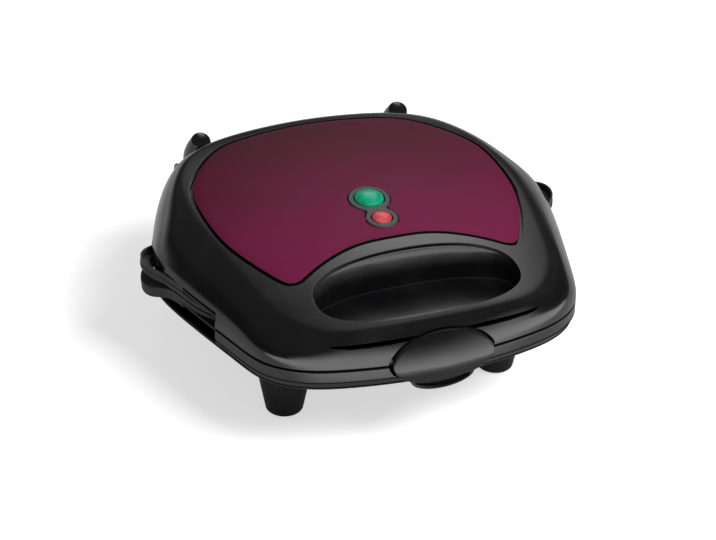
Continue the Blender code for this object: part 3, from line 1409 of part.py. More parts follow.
def saddles(kit, half):
    """Blocks on the reflector that cradle the element's side runs."""
    level = mirrored_height(half, element_depth())
    for side, x in both_sides(ELEMENT_HALF_WIDTH):
        low = (x - SADDLE_HALF, PLATE_MIDDLE - SADDLE_LENGTH / 2)
        high = (x + SADDLE_HALF, PLATE_MIDDLE + SADDLE_LENGTH / 2)
        block = level_box(
            kit, f"{half}_saddle_{side}", half, low, high, element_depth(), PAN_DEPTH - CLEARANCE
        )
        start, end = (x, low[1] - OVERRUN, level), (x, high[1] + OVERRUN, level)
        kit.cut(block, kit.rod(f"{half}_groove_{side}", start, end, ELEMENT_RADIUS + CLEARANCE))
        kit.keep(block, CERAMIC, half_pivot(half))


def electrics(kit):
    """Thermostat on the upper reflector, thermal fuse and terminal block in the base."""
    x, y = THERMOSTAT_PLACE
    low = mirrored_height("upper", PAN_DEPTH + PAN_THICK + CLEARANCE)
    body = kit.rod("thermostat", (x, y, low), (x, y, low + THERMOSTAT_HEIGHT), THERMOSTAT_RADIUS)
    stem_top = low + THERMOSTAT_HEIGHT + CORD_BORE / 2
    stem = kit.rod("thermostat_stem", (x, y, low + WALL), (x, y, stem_top), THERMOSTAT_RADIUS / 3, SMALL_STEPS)
    kit.keep(kit.join(body, stem), CERAMIC, "lid_pivot")
    x, y = FUSE_PLACE
    high = mirrored_height("lower", PAN_DEPTH + PAN_THICK + CLEARANCE)
    middle = high - FUSE_RADIUS
    half = FUSE_LENGTH / 2
    fuse = kit.rod("thermal_fuse", (x - half, y, middle), (x + half, y, middle), FUSE_RADIUS, SMALL_STEPS)
    for side, place in both_sides(half - FUSE_SEAT / 2):
        low = (x + place - FUSE_SEAT / 2, y - FUSE_SEAT, middle - FUSE_RADIUS - FUSE_LEAD)
        top = (x + place + FUSE_SEAT / 2, y + FUSE_SEAT, middle + FUSE_RADIUS)
        kit.join(fuse, kit.box(f"fuse_end_{side}", low, top))
    kit.keep(fuse, CERAMIC)
    wide, deep, tall = BLOCK_SIZE
    floor = BASE_FLOOR + WALL + CLEARANCE
    block = kit.box("terminal_block", (-wide / 2, BLOCK_BACK - deep / 2, floor), (wide / 2, BLOCK_BACK + deep / 2, floor + tall))
    for i in (-1, 0, 1):
        start = (i * BLOCK_SPACING, BLOCK_BACK, floor + tall - BLOCK_HOLE_DEPTH)
        end = (i * BLOCK_SPACING, BLOCK_BACK, floor + tall + OVERRUN)
        kit.cut(block, kit.rod(f"block_hole_{i + 1}", start, end, BLOCK_HOLE, SMALL_STEPS))
    kit.keep(block, CERAMIC)


def latch_face(x, z):
    """Where the latch's front face lies: bowed with the casing, fullest low down, set back at its top."""
    rise = (z - LATCH_BULGE_HEIGHT) / (LATCH_MIDDLE + LATCH_HALF_HEIGHT - LATCH_BULGE_HEIGHT)
    fall = (LATCH_BULGE_HEIGHT - z) / (LATCH_BULGE_HEIGHT - LATCH_MIDDLE + LATCH_HALF_HEIGHT)
    setback = (LATCH_BULGE + LATCH_TOP_SETBACK) * max(0.0, rise) ** LATCH_RISE_POWER + LATCH_BULGE * max(0.0, fall) ** LATCH_FALL_POWER
    return LATCH_FACE - LATCH_BULGE + setback + x**2 / (2 * LATCH_CURVE_RADIUS)


def lip_slab(kit, name, grow, behind):
    """The crescent under the latch that a finger pulls, grown at its edge and at its back."""
    half = LATCH_LIP_HALF + grow
    drop = (LATCH_LIP_TOP - LATCH_LIP_BOTTOM) * LATCH_LIP_share
    places = [(half, LATCH_LIP_TOP), (-half, LATCH_LIP_TOP)]
    for i in range(LATCH_LIP_POINTS + 1):
        turn = math.pi * (1 + i / LATCH_LIP_POINTS)
        places.append((half * math.cos(turn), LATCH_LIP_BOTTOM + drop + (drop + grow) * math.sin(turn)))
    front = LATCH_LIP_FRONT - (OVERRUN if grow else 0.0)
    return kit.front_slab(name, places, front, LATCH_LIP_FRONT + LATCH_LIP_THICK + behind)


def latch_cap(kit):
    rings = []
    for thickness, shares in ((LATCH_THICK, LATCH_BACK_shares[::-1]), (0.0, LATCH_RING_shares)):
        for share in shares:
            ring = []
            for i in range(LATCH_POINTS):
                turn = math.tau * i / LATCH_POINTS
                x = LATCH_HALF_WIDTH * share * math.cos(turn)
                z = LATCH_MIDDLE + LATCH_HALF_HEIGHT * share * math.sin(turn)
                ring.append((x, latch_face(x, z) + thickness, z))
            rings.append(ring)
    return kit.loft("latch", rings)


def latch(kit):
    """The oval latch with its pivot barrel, hook and pull lip."""
    cap = latch_cap(kit)
    y, z = LATCH_PIVOT_Y, LATCH_PIVOT_Z
    half = LATCH_BARREL_HALF
    barrel = kit.rod("latch_barrel", (-half, y, z), (half, y, z), LATCH_BARREL_RADIUS, 2 * SMALL_STEPS)
    web = kit.box(
        "latch_web",
        (-half, latch_face(0.0, z) + LATCH_THICK / 2, z - LATCH_BARREL_RADIUS),
        (half, y, z + LATCH_BARREL_RADIUS / 2),
    )
    hook = kit.box(
        "latch_hook",
        (-LATCH_HOOK_HALF, latch_face(0.0, LATCH_HOOK_TOP) + LATCH_THICK / 2, LATCH_HOOK_TOP - LATCH_HOOK_THICK),
        (LATCH_HOOK_HALF, LATCH_HOOK_REACH, LATCH_HOOK_TOP),
    )
    kit.join(cap, barrel, web, hook, lip_slab(kit, "latch_lip", 0.0, 0.0))
    kit.cut(cap, latch_bores(kit, "barrel_bore"))
    kit.keep(cap, BLACK, "latch_pivot")


def latch_pin(kit):
    span = LATCH_CHEEK_INNER + LATCH_CHEEK_THICK
    y, z = LATCH_PIVOT_Y, LATCH_PIVOT_Z
    kit.keep(kit.rod("latch_pin", (-span, y, z), (span, y, z), LATCH_PIN_RADIUS, SMALL_STEPS), STEEL, "lid_pivot")


def latch_spring(kit):
    """A torsion coil round the pin, between the barrel and a cheek."""
    length = LATCH_CHEEK_INNER - LATCH_BARREL_HALF - 2 * CLEARANCE - 2 * SPRING_WIRE
    start = LATCH_BARREL_HALF + CLEARANCE + SPRING_WIRE
    points = []
    count = SPRING_TURNS * SPRING_TURN_POINTS
    for i in range(count + 1):
        turn = math.tau * i / SPRING_TURN_POINTS
        x = start + length * i / count
        points.append((
            x,
            LATCH_PIVOT_Y + SPRING_RADIUS * math.cos(turn),
            LATCH_PIVOT_Z + SPRING_RADIUS * math.sin(turn),
        ))
    kit.keep(kit.tube("latch_spring", points, SPRING_WIRE, 1), STEEL, "lid_pivot")


def feet(kit):
    """Tapered feet that fit the bowl above them, each with a screw and a rubber pad."""
    for name, x, y in foot_places():
        place = Matrix.Translation((x, y, 0.0))
        bore = FOOT_SCREW_RADIUS + CLEARANCE
        profile = [
            (bore, FOOT_TOP),
            (FOOT_TOP_RADIUS, FOOT_TOP),
            (FOOT_RADIUS, PAD_PROUD + FOOT_ROUND),
            (FOOT_RADIUS - FOOT_ROUND * FOOT_ROUND_share, PAD_PROUD + FOOT_ROUND * FOOT_ROUND_share),
            (FOOT_RADIUS - FOOT_ROUND, PAD_PROUD),
            (PAD_RADIUS + CLEARANCE, PAD_PROUD),
            (PAD_RADIUS + CLEARANCE, PAD_THICK + CLEARANCE),
            (FOOT_SCREW_HEAD + CLEARANCE, PAD_THICK + CLEARANCE),
            (FOOT_SCREW_HEAD + CLEARANCE, FOOT_SCREW_RISE),
            (bore, FOOT_SCREW_RISE),
        ]
        foot = kit.turned(f"foot_{name}", profile, FOOT_STEPS, closed=True, place=place)
        bowl = kit.loft(f"bowl_{name}", base_rings(-CLEARANCE, BASE_FLOOR - CLEARANCE, PARTING))
        kit.keep(kit.cut(foot, bowl), DARK)
        top = BASE_FLOOR + FOOT_SCREW_END
        profile = [
            (0.0, top),
            (FOOT_SCREW_RADIUS, top),
            (FOOT_SCREW_RADIUS, FOOT_SCREW_RISE - CLEARANCE),
            (FOOT_SCREW_HEAD, FOOT_SCREW_RISE - CLEARANCE),
            (FOOT_SCREW_HEAD, FOOT_SCREW_RISE - CLEARANCE - SCREW_HEAD_HEIGHT),
            (0.0, FOOT_SCREW_RISE - CLEARANCE - SCREW_HEAD_HEIGHT),
        ]
        kit.keep(kit.turned(f"foot_screw_{name}", profile, SMALL_STEPS, place=place), STEEL)
        profile = [(0.0, PAD_THICK), (PAD_RADIUS, PAD_THICK), (PAD_RADIUS, PAD_PROUD / 2)]
        profile += [(PAD_RADIUS - PAD_PROUD / 2, 0.0), (0.0, 0.0)]
        kit.keep(kit.turned(f"foot_pad_{name}", profile, place=place), RUBBER)


def half_assembly(kit, half):
    """What the lid and the base both hold, mirrored at the parting plane."""
    frame(kit, half)
    frame_screws(kit, half)
    clip(kit, half)
    cooking_plate(kit, half)
    reflector(kit, half)
    heating_element(kit, half)
    saddles(kit, half)


def centre_on_origin(kit):
    """Moves everything along Y, so that the origin is under the middle of the model."""
    graph = bpy.context.evaluated_depsgraph_get()
    reach = []
    for obj in kit.parts.objects:
        if obj.type == "MESH":
            found = obj.evaluated_get(graph)
            reach += [(found.matrix_world @ vert.co).y for vert in found.data.vertices]
    for obj in bpy.data.objects:
        if obj.parent is None:
            obj.location.y -= (min(reach) + max(reach)) / 2


def build():
    clear_scene()
    kit = Kit()
    kit.pivot("lid_pivot", (0.0, hinge_y(), HINGE_HEIGHT))
    kit.pivot("latch_pivot", (0.0, LATCH_PIVOT_Y, LATCH_PIVOT_Z), "lid_pivot")
    kit.pivot("upper_clip_pivot", (0.0, clip_middle(), mirrored_height("upper", FRAME_DEPTH)), "lid_pivot")
    kit.pivot("lower_clip_pivot", (0.0, clip_middle(), mirrored_height("lower", FRAME_DEPTH)))
    upper_casing(kit)
    lower_casing(kit)
    cord_inlet(kit)
    hinge_pins(kit)
    trim_plate(kit)
    bezel(kit)
    lens(kit, "green", GREEN_BACK, GREEN_RADIUS, GREEN)
    lens(kit, "red", RED_BACK, RED_RADIUS, RED)
    lamp(kit, "green", GREEN_BACK)
    lamp(kit, "red", RED_BACK)
    lamp_holder(kit)
    for half in ("upper", "lower"):
        half_assembly(kit, half)
    electrics(kit)
    latch(kit)
    latch_pin(kit)
    latch_spring(kit)
    feet(kit)
    centre_on_origin(kit)


build()
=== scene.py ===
"""The sandwich and waffle maker's visible pieces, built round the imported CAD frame.

Metres, in the frame's axes: the latch faces -Y, the hinge is at +Y and the feet stand on z = 0.
The shapes follow the part's own rules, with finer steps and softened edges.
"""

import json
import math

import bmesh
import bpy
import numpy as np
from mathutils import Matrix, Vector

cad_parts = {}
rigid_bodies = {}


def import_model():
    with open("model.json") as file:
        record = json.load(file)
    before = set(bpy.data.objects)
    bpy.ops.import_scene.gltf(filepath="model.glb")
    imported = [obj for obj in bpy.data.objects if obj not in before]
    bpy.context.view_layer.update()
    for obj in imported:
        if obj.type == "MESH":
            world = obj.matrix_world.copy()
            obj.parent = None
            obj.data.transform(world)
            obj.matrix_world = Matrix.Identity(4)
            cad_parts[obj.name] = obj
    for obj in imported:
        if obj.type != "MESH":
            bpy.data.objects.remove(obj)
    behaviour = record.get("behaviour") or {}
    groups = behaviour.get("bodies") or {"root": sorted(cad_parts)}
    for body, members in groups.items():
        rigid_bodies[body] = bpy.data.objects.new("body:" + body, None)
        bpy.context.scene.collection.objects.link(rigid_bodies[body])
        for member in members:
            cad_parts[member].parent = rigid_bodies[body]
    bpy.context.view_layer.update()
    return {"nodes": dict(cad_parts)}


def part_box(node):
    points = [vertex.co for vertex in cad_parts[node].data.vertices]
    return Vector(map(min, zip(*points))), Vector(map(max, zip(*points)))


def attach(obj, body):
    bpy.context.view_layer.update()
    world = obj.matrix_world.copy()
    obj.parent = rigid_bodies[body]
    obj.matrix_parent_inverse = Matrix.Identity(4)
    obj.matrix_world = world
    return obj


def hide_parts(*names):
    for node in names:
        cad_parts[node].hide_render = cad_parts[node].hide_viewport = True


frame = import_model()

# Casing outline, seen from above
HALF_WIDTH = 0.125
FRONT_REACH = 0.131
REAR_REACH = 0.116
RIM_shares = (
    (0.0, -1.0), (0.448, -0.951), (0.64, -0.885), (0.76, -0.779), (0.832, -0.603), (0.94, -0.252),
    (1.0, 0.034), (0.98, 0.175), (0.92, 0.362), (0.846, 0.56), (0.748, 0.742), (0.596, 0.874),
    (0.336, 0.962), (0.0, 1.0),
)
CLEARANCE = 0.0003

# Heights
PARTING = 0.065
RIM_GAP = 0.001
BASE_FLOOR = PARTING - 0.037
RIM_FOOT = PARTING - 0.012
PEAK_BACK = 0.0284
CROWN_RADIUS = 0.568

# Lid: the soft ridge between flared skirt and crown
RIDGE_HALF_WIDTH = HALF_WIDTH - 0.023
RIDGE_FRONT = FRONT_REACH - 0.001
RIDGE_REAR = REAR_REACH - 0.0195
RIDGE_shares = (
    (0.0, -1.0), (0.51, -0.965), (0.696, -0.9), (0.804, -0.792), (0.863, -0.638), (0.951, -0.277),
    (1.0, 0.041), (0.995, 0.249), (0.961, 0.477), (0.885, 0.684), (0.774, 0.845), (0.6, 0.943),
    (0.353, 0.984), (0.0, 1.0),
)
SKIRT_shares = ((0.0, 0.0), (0.0, 0.14), (0.07, 0.34), (0.21, 0.54), (0.43, 0.74), (0.7, 0.9), (1.0, 1.0))
LINING_shares = ((0.0, 0.0), (0.0, 0.14), (0.14, 0.44), (0.54, 0.81), (1.0, 1.0))
LINING_TOP_shares = (0.76, 0.5, 0.24)
WALL = 0.0024

# Base: the bowl under the rim
BOWL_HALF_WIDTH = HALF_WIDTH - 0.033
BOWL_FRONT = FRONT_REACH - 0.045
BOWL_REAR = REAR_REACH - 0.016
BOWL_shares = ((0.0, 0.0), (0.1, 0.06), (0.34, 0.3), (0.6, 0.56), (0.82, 0.8), (0.95, 0.96))
BOWL_LINING_shares = ((0.0, 0.0), (0.1, 0.06), (0.6, 0.56), (0.95, 0.96))
BOWL_ROUND = 0.002
RIM_ROUND = 0.0016

# Finger well behind the grip bar
WELL_HALF_WIDTH = HALF_WIDTH - 0.064
WELL_MIDDLE = 0.039 - FRONT_REACH
WELL_BACK = 0.0235
WELL_FRONT = 0.026
WELL_SQUARENESS = 2.4
WELL_FLOOR = PARTING + 0.0102
WELL_ROUND = 0.005
WELL_LIP = 0.0035
WELL_POINTS = 36

# Maroon insert, lamps and their bezel
TRIM_HALF_WIDTH = HALF_WIDTH - 0.030
TRIM_REAR = REAR_REACH - 0.0275
TRIM_FRONT = FRONT_REACH - 0.0575
TRIM_shares = (
    (0.0, -0.743), (0.284, -0.771), (0.584, -0.939), (0.667, -1.0), (0.726, -0.996), (0.785, -0.909),
    (0.937, -0.463), (0.992, -0.068), (0.995, 0.249), (0.937, 0.508), (0.684, 0.859), (0.484, 0.949),
    (0.0, 1.0),
)
TRIM_RECESS = 0.0023
TRIM_GROOVE = 0.0011
TRIM_UNDER_shares = (1.0, 0.7, 0.35)
RED_BACK = WELL_MIDDLE + 0.0555
GREEN_BACK = RED_BACK + 0.0202
GREEN_RADIUS = 0.0086
RED_RADIUS = 0.0057
BEZEL_MARGIN = 0.004
BEZEL_PROUD = 0.0006
BEZEL_GROOVE = 0.0006
BEZEL_STEPS = 20
LENS_DEPTH = 0.0105
LENS_WALL = 0.0018
DOME_share = 0.34
DOME_STEPS = 4
LAMP_RADIUS = 0.0022

# Cooking plates, seen from above and in depth from the parting plane
PLATE_HALF_WIDTH = HALF_WIDTH - 0.018
PLATE_FRONT = 0.070 - FRONT_REACH
PLATE_BACK = REAR_REACH - 0.016
PLATE_MIDDLE = (PLATE_FRONT + PLATE_BACK) / 2
PLATE_HALF_DEPTH = (PLATE_BACK - PLATE_FRONT) / 2
PLATE_FRONT_SQUARENESS = 5.0
PLATE_REAR_SQUARENESS = 3.0
PLATE_POINTS = 44
PLATE_GAP = 0.0003
PLATE_THICK = 0.003
POCKET_INNER = 0.0045
POCKET_OUTER = PLATE_HALF_WIDTH - 0.0145
POCKET_FRONT = PLATE_FRONT + 0.030
POCKET_BACK = PLATE_BACK - 0.035
POCKET_DEPTH = 0.0105
POCKET_CORNER = 0.014
POCKET_SLOPE = 0.006
POCKET_FOOT_shares = (1 / 3, 0.8, 1.6)
POCKET_LAND = 0.003
POCKET_WALL = 0.002
POCKET_STEPS = 2

# Plate lugs at both sides, and the casing notches that they stand out of
EAR_REACH = HALF_WIDTH + 0.0065
EAR_ROOT = PLATE_HALF_WIDTH - 0.011
EAR_BEND = HALF_WIDTH - 0.0065
EAR_FLARE = 0.0042
EAR_FRONT = PLATE_FRONT + 0.009
EAR_BACK = EAR_FRONT + 0.090
EAR_shares = (
    (0.0, 0.0), (0.366, 0.1), (0.592, 0.333), (0.761, 0.489), (0.915, 0.556), (1.0, 0.644),
    (0.986, 0.733), (0.887, 0.811), (0.648, 0.9), (0.282, 0.978), (0.0, 1.0),
)
EAR_HOLE_shares = ((0.66, 0.81), (0.79, 0.745), (0.83, 0.665), (0.77, 0.6), (0.65, 0.55), (0.57, 0.65), (0.57, 0.75))
EAR_LIP = 0.0016
EAR_LIP_HEIGHT = 0.0038
EAR_LIP_SETBACK = 0.0003
NOTCH_FRONT = EAR_FRONT - 0.009
NOTCH_BACK = EAR_BACK - 0.007
NOTCH_RISE = 0.0098
NOTCH_DROP = 0.0106
NOTCH_INNER = HALF_WIDTH - 0.021

# Frames that carry the plates
FRAME_DEPTH = 0.0036
FRAME_THICK = 0.002
FRAME_CLEARANCE = 0.0013
FRAME_LEDGE = 0.005
FRAME_FRONT_CUT = 0.015 - FRONT_REACH
FRAME_CUT_HALF = 0.037
FRONT_SCREW_shares = (0.64, -0.672)
REAR_SCREW_shares = (0.4, 0.886)
BOSS_RADIUS = 0.004
SCREW_RADIUS = 0.0015
SCREW_HEAD = 0.003
SCREW_HEAD_HEIGHT = 0.0016
SCREW_LENGTH = 0.009
TONGUE_HALF = 0.012
TONGUE_REACH = 0.0035
TONGUE_THICK = 0.001
TONGUE_BODY = 0.009
STEP_CLEARANCE = 0.0005

# Sliding clip at the front of each plate
CLIP_HALF = 0.012
CLIP_BODY = 0.013
CLIP_MIDDLE = PLATE_FRONT - STEP_CLEARANCE - CLIP_BODY / 2
CLIP_TRAVEL = 0.004
CLIP_NECK_HALF = 0.004
CLIP_NECK_LENGTH = 0.005
CLIP_KEEPER_HALF = 0.0075
CLIP_KEEPER_LENGTH = 0.009
CLIP_KEEPER_THICK = 0.0012
CLIP_GRIP_DEPTH = 0.0008
CLIP_GRIP_WIDTH = 0.0014
CLIP_GRIPS = 3

# Heating, in depth from the parting plane
ELEMENT_RADIUS = 0.0032
ELEMENT_ROOM = 0.0025
PAN_THICK = 0.0008
POST_RADIUS = 0.004
POST_SPREAD = PLATE_HALF_WIDTH - 0.047
POST_FRONT = PLATE_FRONT + 0.031
POST_BACK = PLATE_BACK - 0.034

# The pan clears the element, and the lid's crown clears the pan
LID_HEADROOM = 0.0195
PAN_DEPTH = PLATE_GAP + POCKET_DEPTH + POCKET_WALL + CLEARANCE + 2 * ELEMENT_RADIUS + ELEMENT_ROOM
PEAK_HEIGHT = PARTING + PAN_DEPTH + LID_HEADROOM

# Hinge at the back
HINGE_SPREAD = HALF_WIDTH - 0.059
HINGE_OVERHANG = 0.0035
HINGE_HEIGHT = PARTING
HINGE_Y = REAR_REACH + HINGE_OVERHANG
KNUCKLE_RADIUS = 0.0066
KNUCKLE_WIDTH = 0.0144
CHEEK_THICK = 0.003
CHEEK_GAP = 0.0004
HINGE_PIN_RADIUS = 0.002
LUG_ROOT = REAR_REACH - 0.015
LUG_TOP = PARTING - 0.007
LUG_FOOT = LUG_TOP - 0.010
LUG_BRIDGE = 0.0125
LUG_ARC_START = -math.pi / 4
LUG_ARC_STEPS = 36
PEG_TIP_SINK = 0.0019
PEG_TIP_BACK = REAR_REACH - 0.0156
PEG_TIP_RADIUS = 0.0062
PEG_RADIUS = 0.0068
PEG_shares = ((0.0, 0.0), (0.2, 0.24), (0.45, 0.52), (0.72, 0.76), (1.0, 1.0))

# Catch in the base, and the latch at the front
CATCH_FRONT = 0.0072 - FRONT_REACH
CATCH_BOTTOM = PARTING - 0.006
LATCH_HALF_WIDTH = 0.030
LATCH_HALF_HEIGHT = 0.0152
LATCH_MIDDLE = PARTING + 0.0008
LATCH_GAP = 0.0012
LATCH_THICK = 0.0028
LATCH_FACE = -FRONT_REACH - 0.0008
LATCH_BULGE = 0.0030
LATCH_BULGE_HEIGHT = PARTING - 0.0015
LATCH_RISE_POWER = 1.3
LATCH_FALL_POWER = 2
LATCH_TOP_SETBACK = 0.0042
LATCH_CURVE_RADIUS = 0.230
LATCH_POINTS = 32
LATCH_PIVOT_Y = 0.0055 - FRONT_REACH
LATCH_PIVOT_Z = PARTING + 0.0085
LATCH_BARREL_RADIUS = 0.0028
LATCH_BARREL_HALF = 0.009
LATCH_PIN_RADIUS = 0.0009
LATCH_CHEEK_INNER = 0.0135
LATCH_CHEEK_THICK = 0.003
LATCH_CHEEK_RADIUS = 0.0019
CHEEK_STEPS = 8
LATCH_HOOK_HALF = 0.010
LATCH_HOOK_REACH = CATCH_FRONT + 0.0032
LATCH_HOOK_TOP = CATCH_BOTTOM - CLEARANCE
LATCH_HOOK_THICK = 0.003
LATCH_LIP_HALF = 0.019
LATCH_LIP_TOP = PARTING - 0.0105
LATCH_LIP_BOTTOM = LATCH_LIP_TOP - 0.0087
LATCH_LIP_FRONT = -FRONT_REACH - 0.0002
LATCH_LIP_THICK = 0.0026
LATCH_LIP_POINTS = 16
LATCH_LIP_share = 0.92
CATCH_HALF = 0.015
CATCH_THICK = 0.003
NICHE_BACK = 0.0115 - FRONT_REACH
NICHE_HALF = 0.0345
WINDOW_DEPTH = 0.0073 - FRONT_REACH
SPRING_RADIUS = 0.0017
SPRING_WIRE = 0.0003
SPRING_TURNS = 3

# Feet
FOOT_SPREAD = BOWL_HALF_WIDTH - 0.0248
FOOT_FRONT = 0.0272 - BOWL_FRONT
FOOT_REAR = BOWL_REAR - 0.024
FOOT_RADIUS = 0.0112
FOOT_TOP_RADIUS = 0.0192
FOOT_TOP = BASE_FLOOR + 0.017
FOOT_ROUND = 0.0022
PAD_RADIUS = 0.0075
PAD_THICK = 0.002
PAD_PROUD = 0.0006
FOOT_SCREW_RADIUS = 0.0017
FOOT_SCREW_HEAD = 0.0034
FOOT_SCREW_RISE = 0.010
FOOT_SCREW_END = 0.0085
FOOT_BOSS_RADIUS = 0.0045

# Openings in the base
CORD_HEIGHT = PARTING - 0.0105
CORD_BORE = 0.0030
CORD_NECK = 0.0042
CORD_FLANGE = 0.0054
CORD_FLANGE_THICK = 0.0018
CORD_SEAT = 0.007
VENT_LENGTH = 0.026
VENT_WIDTH = 0.0026
VENT_PITCH = 0.0075
VENT_COUNT = 6
SLOT_END_share = 0.49

OVERRUN = 0.005
MERGE = 0.00001

# Steps and small edge roundings of the visible pieces
LOOP_STEPS = 8
ROUND_TURN = 64
SMALL_TURN = 32
EDGE = 0.0007
FINE_EDGE = 0.00035
EDGE_STEPS = 4
SLIVER = 0.000004
SMOOTH_TOP_shares = (0.955, 0.9, 0.83, 0.74, 0.62, 0.46)
SHARP_ANGLE = math.radians(32)
FACE_WEIGHT = 60
WELL_MOUTH = 0.0005
WELL_SCOOP = 0.0012
SCOOP_STEPS = 8
WELL_FRONT_FALL = 0.002
WELL_STEP = 0.0011
WELL_SHOULDER = 0.0115
WELL_SHOULDER_shares = (
    (0.0, 0.0), (0.03, 0.08), (0.13, 0.2), (0.28, 0.36), (0.44, 0.53), (0.6, 0.7), (0.75, 0.85), (0.88, 0.95),
    (1.0, 1.0),
)
WELL_CEILING = 0.0955
WELL_EDGE_shares = (0.96, 1.06)
WELL_WALL_STEPS = 3
TRIM_DRAWN_IN = 0.0009
PEG_FLARE = 0.0028
PEG_FLAT = 0.5
PIN_HEAD_RADIUS = 0.0028
PIN_HEAD_THICK = 0.0008
FRONT_ROLL = 0.0065
FRONT_TURN_START = 0.55
FRONT_SKIRT_shares = ((0.0, 0.0), (0.01, 0.16), (0.05, 0.29), (0.18, 0.44), (0.4, 0.62), (0.7, 0.83), (1.0, 1.0))
NOTCH_ROUND = 0.0025
WINDOW_EDGE = 0.0008
PEG_DOME_STEPS = 12
RIM_GROOVE_RISE = 0.0026
RIM_GROOVE_DEPTH = 0.0005
RIM_TUCK = 0.0014
LIP_LEAN = 0.18
FLAT_shares = (0.93, 0.84, 0.74, 0.63, 0.51, 0.38, 0.24, 0.1)
WAIST_ROUNDS = 12
LATCH_FACE_shares = (0.95, 0.88, 0.8, 0.7, 0.6, 0.5, 0.38, 0.26, 0.13)
LATCH_BACK_FINE_shares = (0.2, 0.4, 0.6, 0.8, 1.0)
EYE_GAP = 0.0007
EYE_EDGE = 0.0004
LATCH_SINK = 0.0002
DOME_SINK = 0.0001
EAR_SINK = 0.0001
LIP_RIM = 0.0011
LIP_DISH = 0.0007
FOOT_EDGE_STEPS = 5
POCKET_MOUTH = 0.0012
BEND_STEPS = 4
BEND_STEP = 0.0008
HEAD_STEPS = 6
HEAD_FULLNESS = 0.6
CROSS_share = 0.62
CROSS_WIDTH_share = 0.16
CROSS_FLOOR_share = 0.35
PAD_RIBS = 3
PAD_RIB = 0.0003


def linked(name, mesh):
    obj = bpy.data.objects.new(name, mesh)
    bpy.context.scene.collection.objects.link(obj)
    return obj


def from_bmesh(name, bm):
    bmesh.ops.recalc_face_normals(bm, faces=bm.faces)
    mesh = bpy.data.meshes.new(name)
    bm.to_mesh(mesh)
    bm.free()
    return linked(name, mesh)


def baked(obj):
    """The object with its modifiers made part of its mesh."""
    bpy.context.view_layer.update()
    graph = bpy.context.evaluated_depsgraph_get()
    mesh = bpy.data.meshes.new_from_object(obj.evaluated_get(graph))
    mesh.transform(obj.matrix_world)
    name = obj.name
    bpy.data.objects.remove(obj)
    mesh.name = name
    return linked(name, mesh)


def outwards(obj):
    """Turns a closed solid's faces outwards."""
    bm = bmesh.new()
    bm.from_mesh(obj.data)
    if bm.calc_volume(signed=True) < 0.0:
        bmesh.ops.reverse_faces(bm, faces=bm.faces)
        bm.to_mesh(obj.data)
    bm.free()


def carve(obj, others, operation="DIFFERENCE"):
    """Cuts the other solids from the object, or joins them to it, and removes them."""
    for solid in (obj, *others):
        outwards(solid)
    tools = bpy.data.collections.new("tools")
    bpy.context.scene.collection.children.link(tools)
    for other in others:
        tools.objects.link(other)
        bpy.context.scene.collection.objects.unlink(other)
    modifier = obj.modifiers.new("carve", "BOOLEAN")
    modifier.operand_type = "COLLECTION"
    modifier.collection = tools
    modifier.operation = operation
    modifier.solver = "EXACT"
    result = baked(obj)
    for other in list(tools.objects):
        bpy.data.objects.remove(other)
    bpy.data.collections.remove(tools)
    return result


def join(obj, others):
    return carve(obj, others, "UNION")


def loft(name, rings, start=None, end=None, closed=False):
    """A closed solid through rings of as many points, with a fan at each end."""
    bm = bmesh.new()
    rows = [[bm.verts.new(tuple(point)) for point in ring] for ring in rings]
    count = len(rows[0])
    pairs = list(zip(rows, rows[1:])) + ([(rows[-1], rows[0])] if closed else [])
    for low, high in pairs:
        for i in range(count):
            j = (i + 1) % count
            bm.faces.new((low[i], low[j], high[j], high[i]))
    if not closed:
        for row, tip in ((rows[0], start), (rows[-1], end)):
            middle = bm.verts.new(tip or sum((vert.co for vert in row), Vector()) / count)
            for i in range(count):
                bm.faces.new((row[i], row[(i + 1) % count], middle))
    return from_bmesh(name, bm)


def softened(rings, rounds=2):
    """The rings made into a smooth run that rounds off between them."""
    rows = [np.array([tuple(point) for point in ring]) for ring in rings]
    for _ in range(rounds):
        found = [rows[0]]
        for k, row in enumerate(rows[:-1]):
            if k:
                found.append((rows[k - 1] + 6 * row + rows[k + 1]) / 8)
            found.append((row + rows[k + 1]) / 2)
        rows = found + [rows[-1]]
    return [[Vector(point) for point in row] for row in rows]


def smooth_loop(points, steps=LOOP_STEPS):
    """A closed loop through the points whose bend changes evenly, with so many steps for each."""
    knots = np.array([tuple(point) for point in points])
    count = len(knots)
    gaps = np.linalg.norm(np.roll(knots, -1, 0) - knots, axis=1) ** 0.5
    matrix = np.zeros((count, count))
    pull = np.zeros_like(knots)
    for i in range(count):
        j = (i + 1) % count
        matrix[i, i - 1] += gaps[i - 1]
        matrix[i, i] += 2 * (gaps[i - 1] + gaps[i])
        matrix[i, j] += gaps[i]
        pull[i] = 6 * ((knots[j] - knots[i]) / gaps[i] - (knots[i] - knots[i - 1]) / gaps[i - 1])
    bends = np.linalg.solve(matrix, pull)
    found = []
    for i in range(count):
        j = (i + 1) % count
        for step in range(steps):
            t = step / steps
            s = 1 - t
            bow = (s**3 - s) * bends[i] + (t**3 - t) * bends[j]
            found.append(Vector(s * knots[i] + t * knots[j] + bow * gaps[i] ** 2 / 6))
    return found


def symmetric_loop(shares, half_width, front, rear, steps=LOOP_STEPS):
    """A loop from a half table of shares that runs from the front to the back."""
    half = [(x * half_width, y * (front if y < 0 else rear)) for x, y in shares]
    return smooth_loop(half + [(-x, y) for x, y in reversed(half[1:-1])], steps)


def inset(points, distance):
    """The loop moved inwards along its own normals."""
    area = sum(a.x * b.y - b.x * a.y for a, b in zip(points, points[1:] + points[:1]))
    inward = distance if area > 0 else -distance
    found = []
    for i, point in enumerate(points):
        along = (points[(i + 1) % len(points)] - points[i - 1]).normalized()
        found.append(point + inward * Vector((-along.y, along.x)))
    return found


